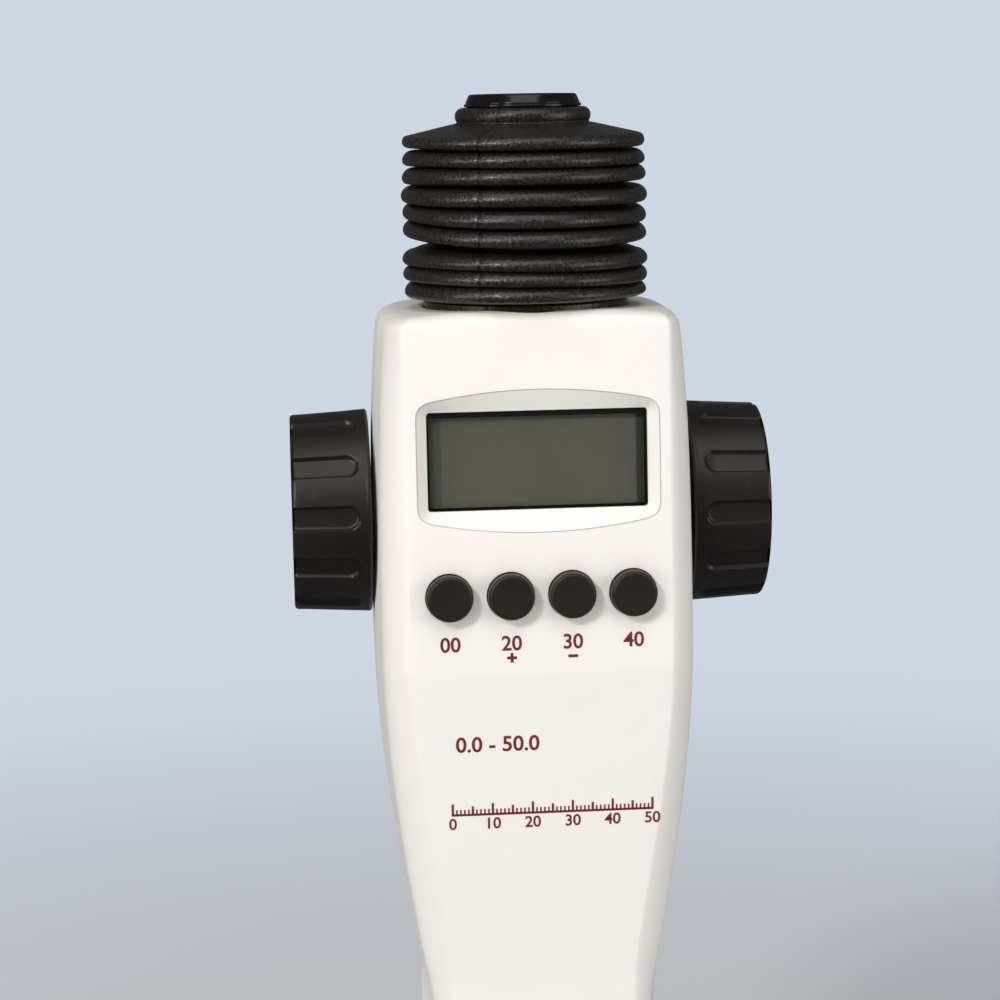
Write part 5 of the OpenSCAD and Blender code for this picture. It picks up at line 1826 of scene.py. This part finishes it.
    def build(self) -> None:
        """Makes the pieces of the lower end."""
        make_piece("valve_body", self.block_shape(), BLOCK, "housing", ("valve_block",))
        make_piece("valve_lever", self.lever_shape(), RED, "valve", ("valve_knob",))
        make_piece("outlet_tube", self.tube_shape(), TUBE, "housing", ("discharge_tube",))
        bore = self.tube_r + 0.06
        nut = self.ribbed(rounded([(bore, 0), (7.2, 0), (7.4, 0.8), (7.4, 11.2), (6.6, 12),
                                   (5.06, 12), (5.06, 7), (bore, 7), (bore, 0.01)],
                                  [0.5, 0.3, 0.4, 0.5, 0.2, 0.1, 0.1], 6),
                          12, 0.9, (0.9, 11.3), 144)
        make_piece("outlet_nut", nut.moved(along_y(0, self.outlet_y - 7, self.outlet_z)), NUT,
                   "housing", ("tube_nut",))
        cap = turned(rounded([(0, 0), (4.6, 0), (4.6, 0.9), (4.0, 14), (bore, 14), (bore, 3.8),
                              (0, 3.8)], [0.9, 0.2, 0.5, 0.3, 0.2], 6), 72)
        make_piece("outlet_cap", cap.moved(Matrix.Translation((0, -self.reach, 0))), RED, "cap",
                   ("tip_cap",))
        make_piece("screw_collar", self.collar_shape(), COLLAR, "collar", ("bottle_collar",), 40.0)


# ------------------------------------------------------------------ stage
@dataclass(frozen=True)
class Lamp:
    """A square soft lamp: where it hangs and its side in metres, its watts and its colour, and
    how strongly it shows in gloss."""

    name: str
    place: tuple[float, float, float]
    size: float
    watts: float
    colour: Colour
    gloss: float = 1.0

    def hang(self, target: tuple[float, float, float]) -> None:
        """Puts the lamp in the scene, aimed at the target."""
        data = bpy.data.lights.new(self.name, "AREA")
        data.size, data.energy, data.color = self.size, self.watts, self.colour
        data.specular_factor = self.gloss
        turn = (Vector(target) - Vector(self.place)).to_track_quat("-Z", "Y").to_matrix()
        placed(self.name, data).matrix_world = Matrix.Translation(self.place) @ turn.to_4x4()


@dataclass
class Studio:
    """Floor, lamps and the camera of the photograph."""

    eye: tuple[float, float, float] = (-0.0541, -0.59794, 0.29745)
    heading: float = math.radians(4.568)
    down: float = math.radians(8.984)
    roll: float = math.radians(1.004)
    focal_px: float = 2767.9
    frame_px: float = 1000.0
    floor_colour: Colour = (0.7, 0.71, 0.73)
    backdrop_colour: Colour = (0.63, 0.7, 0.79)
    sky: float = 0.16
    gloss_dim: float = 0.9
    glow_mm: tuple[float, float] = (120.0, 800.0)
    glow_share: float = 0.95
    half_width: float = 5.0
    front_y: float = -4.0
    curve_r: float = 1.2
    wall_z: float = 4.5
    target: tuple[float, float, float] = (0.0, 0.0, 0.19)
    lamps: tuple[Lamp, ...] = (
        Lamp("key_lamp", (-0.834, -1.137, 1.0), 0.26, 11.5, (1.0, 0.985, 0.96)),
        Lamp("fill_lamp", (1.35, -0.85, 0.45), 0.9, 8.2, (0.99, 0.99, 1.0), 0.04),
        Lamp("top_lamp", (0.0, -0.72, 1.55), 1.3, 10.6, (1.0, 0.995, 0.985), 0.03),
        Lamp("edge_lamp", (-1.4, -0.7, 0.5), 0.45, 5.5, (1.0, 0.98, 0.95), 0.5))

    def camera(self) -> None:
        """Sets the camera from its heading, its tilt and its roll."""
        ch, sh, cd, sd = (f(a) for a in (self.heading, self.down) for f in (math.cos, math.sin))
        ahead = np.array([sh * cd, ch * cd, -sd])
        right = np.array([ch, -sh, 0.0])
        up = np.cross(right, ahead)
        cr, sr = math.cos(self.roll), math.sin(self.roll)
        turn = np.stack([right * cr - up * sr, right * sr + up * cr, -ahead], -1)
        data = bpy.data.cameras.new("camera")
        data.sensor_width = 36.0
        data.lens = self.focal_px / self.frame_px * data.sensor_width
        data.clip_start = 0.01
        holder = placed("camera", data)
        holder.matrix_world = Matrix(np.vstack([np.c_[turn, self.eye], [0, 0, 0, 1]]).tolist())
        bpy.context.scene.camera = holder

    def floor(self) -> None:
        """One sheet: a flat floor, a quarter circle up from it and a wall."""
        turn = span(0, math.pi / 2, 24)
        r = self.curve_r
        y = np.concatenate([span(self.front_y, r, 12), r + r * np.sin(turn[1:]), [2 * r, 2 * r]])
        z = np.concatenate([np.zeros(12), r - r * np.cos(turn[1:]), [2 * r, self.wall_z]])
        x = span(-self.half_width, self.half_width, 12)
        grid = np.stack(np.broadcast_arrays(x[None, :], y[:, None], z[:, None] - 0.0002), -1)
        mesh = bpy.data.meshes.new("floor")
        mesh.from_pydata(grid.reshape(-1, 3).tolist(), [],
                         grid_faces(len(y), len(x), False).tolist())
        mesh.shade_smooth()
        material = bpy.data.materials.new("floor_pale")
        graph = Graph(material)
        cloud = graph.noise(900.0, 2.0)
        pale = tuple(min(1.0, c * 1.06) for c in self.floor_colour)
        lit = graph.node("ShaderNodeBsdfPrincipled", {}, {
            "Base Color": graph.blend(self.floor_colour, pale, cloud), "Roughness": 0.9,
            "Specular IOR Level": 0.1})
        gloss = graph.ray("Glossy")
        glow = graph.node("ShaderNodeEmission", {}, {
            "Color": (*self.backdrop_colour, 1.0), "Strength": 1.0 - gloss * self.gloss_dim})
        far = graph.radius().ramp(*self.glow_mm) * graph.seen() * self.glow_share \
            + gloss * self.gloss_dim
        graph.node("ShaderNodeOutputMaterial", {}, {"Surface": graph.node(
            "ShaderNodeMixShader", {}, {0: far, 1: lit, 2: glow})})
        mesh.materials.append(material)
        placed("floor", mesh)

    def build(self) -> None:
        """Makes camera, floor, lamps and world."""
        self.camera()
        self.floor()
        for lamp in self.lamps:
            lamp.hang(self.target)
        world = bpy.data.worlds.new("world")
        graph = Graph(world)
        seen = graph.seen()
        colour = graph.blend((0.97, 0.98, 1.0), self.backdrop_colour, seen)
        back = graph.node("ShaderNodeBackground", {}, {
            "Color": colour, "Strength": self.sky + seen * (1.0 - self.sky)})
        graph.node("ShaderNodeOutputWorld", {}, {"Surface": back})
        bpy.context.scene.world = world
        bpy.context.scene.view_settings.view_transform = "Standard"


def dress_nodes() -> None:
    """Gives every node of the frame its finish."""
    for finish, names in NODES_OF.items():
        for node in (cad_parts[name] for name in names.split()):
            for slot in node.material_slots:
                slot.material = material_of(finish)
            if not node.material_slots:
                node.data.materials.append(material_of(finish))


def main() -> None:
    """Builds the parts of the burette in order and reports each piece."""
    logging.basicConfig(level=logging.INFO, format="%(message)s")
    dress_nodes()
    Studio().build()
    Housing().build()
    PanelPrint().build()
    KeyRow().build()
    Handwheels().build()
    Bellows().build()
    ValveEnd().build()


if __name__ == "__main__":
    main()
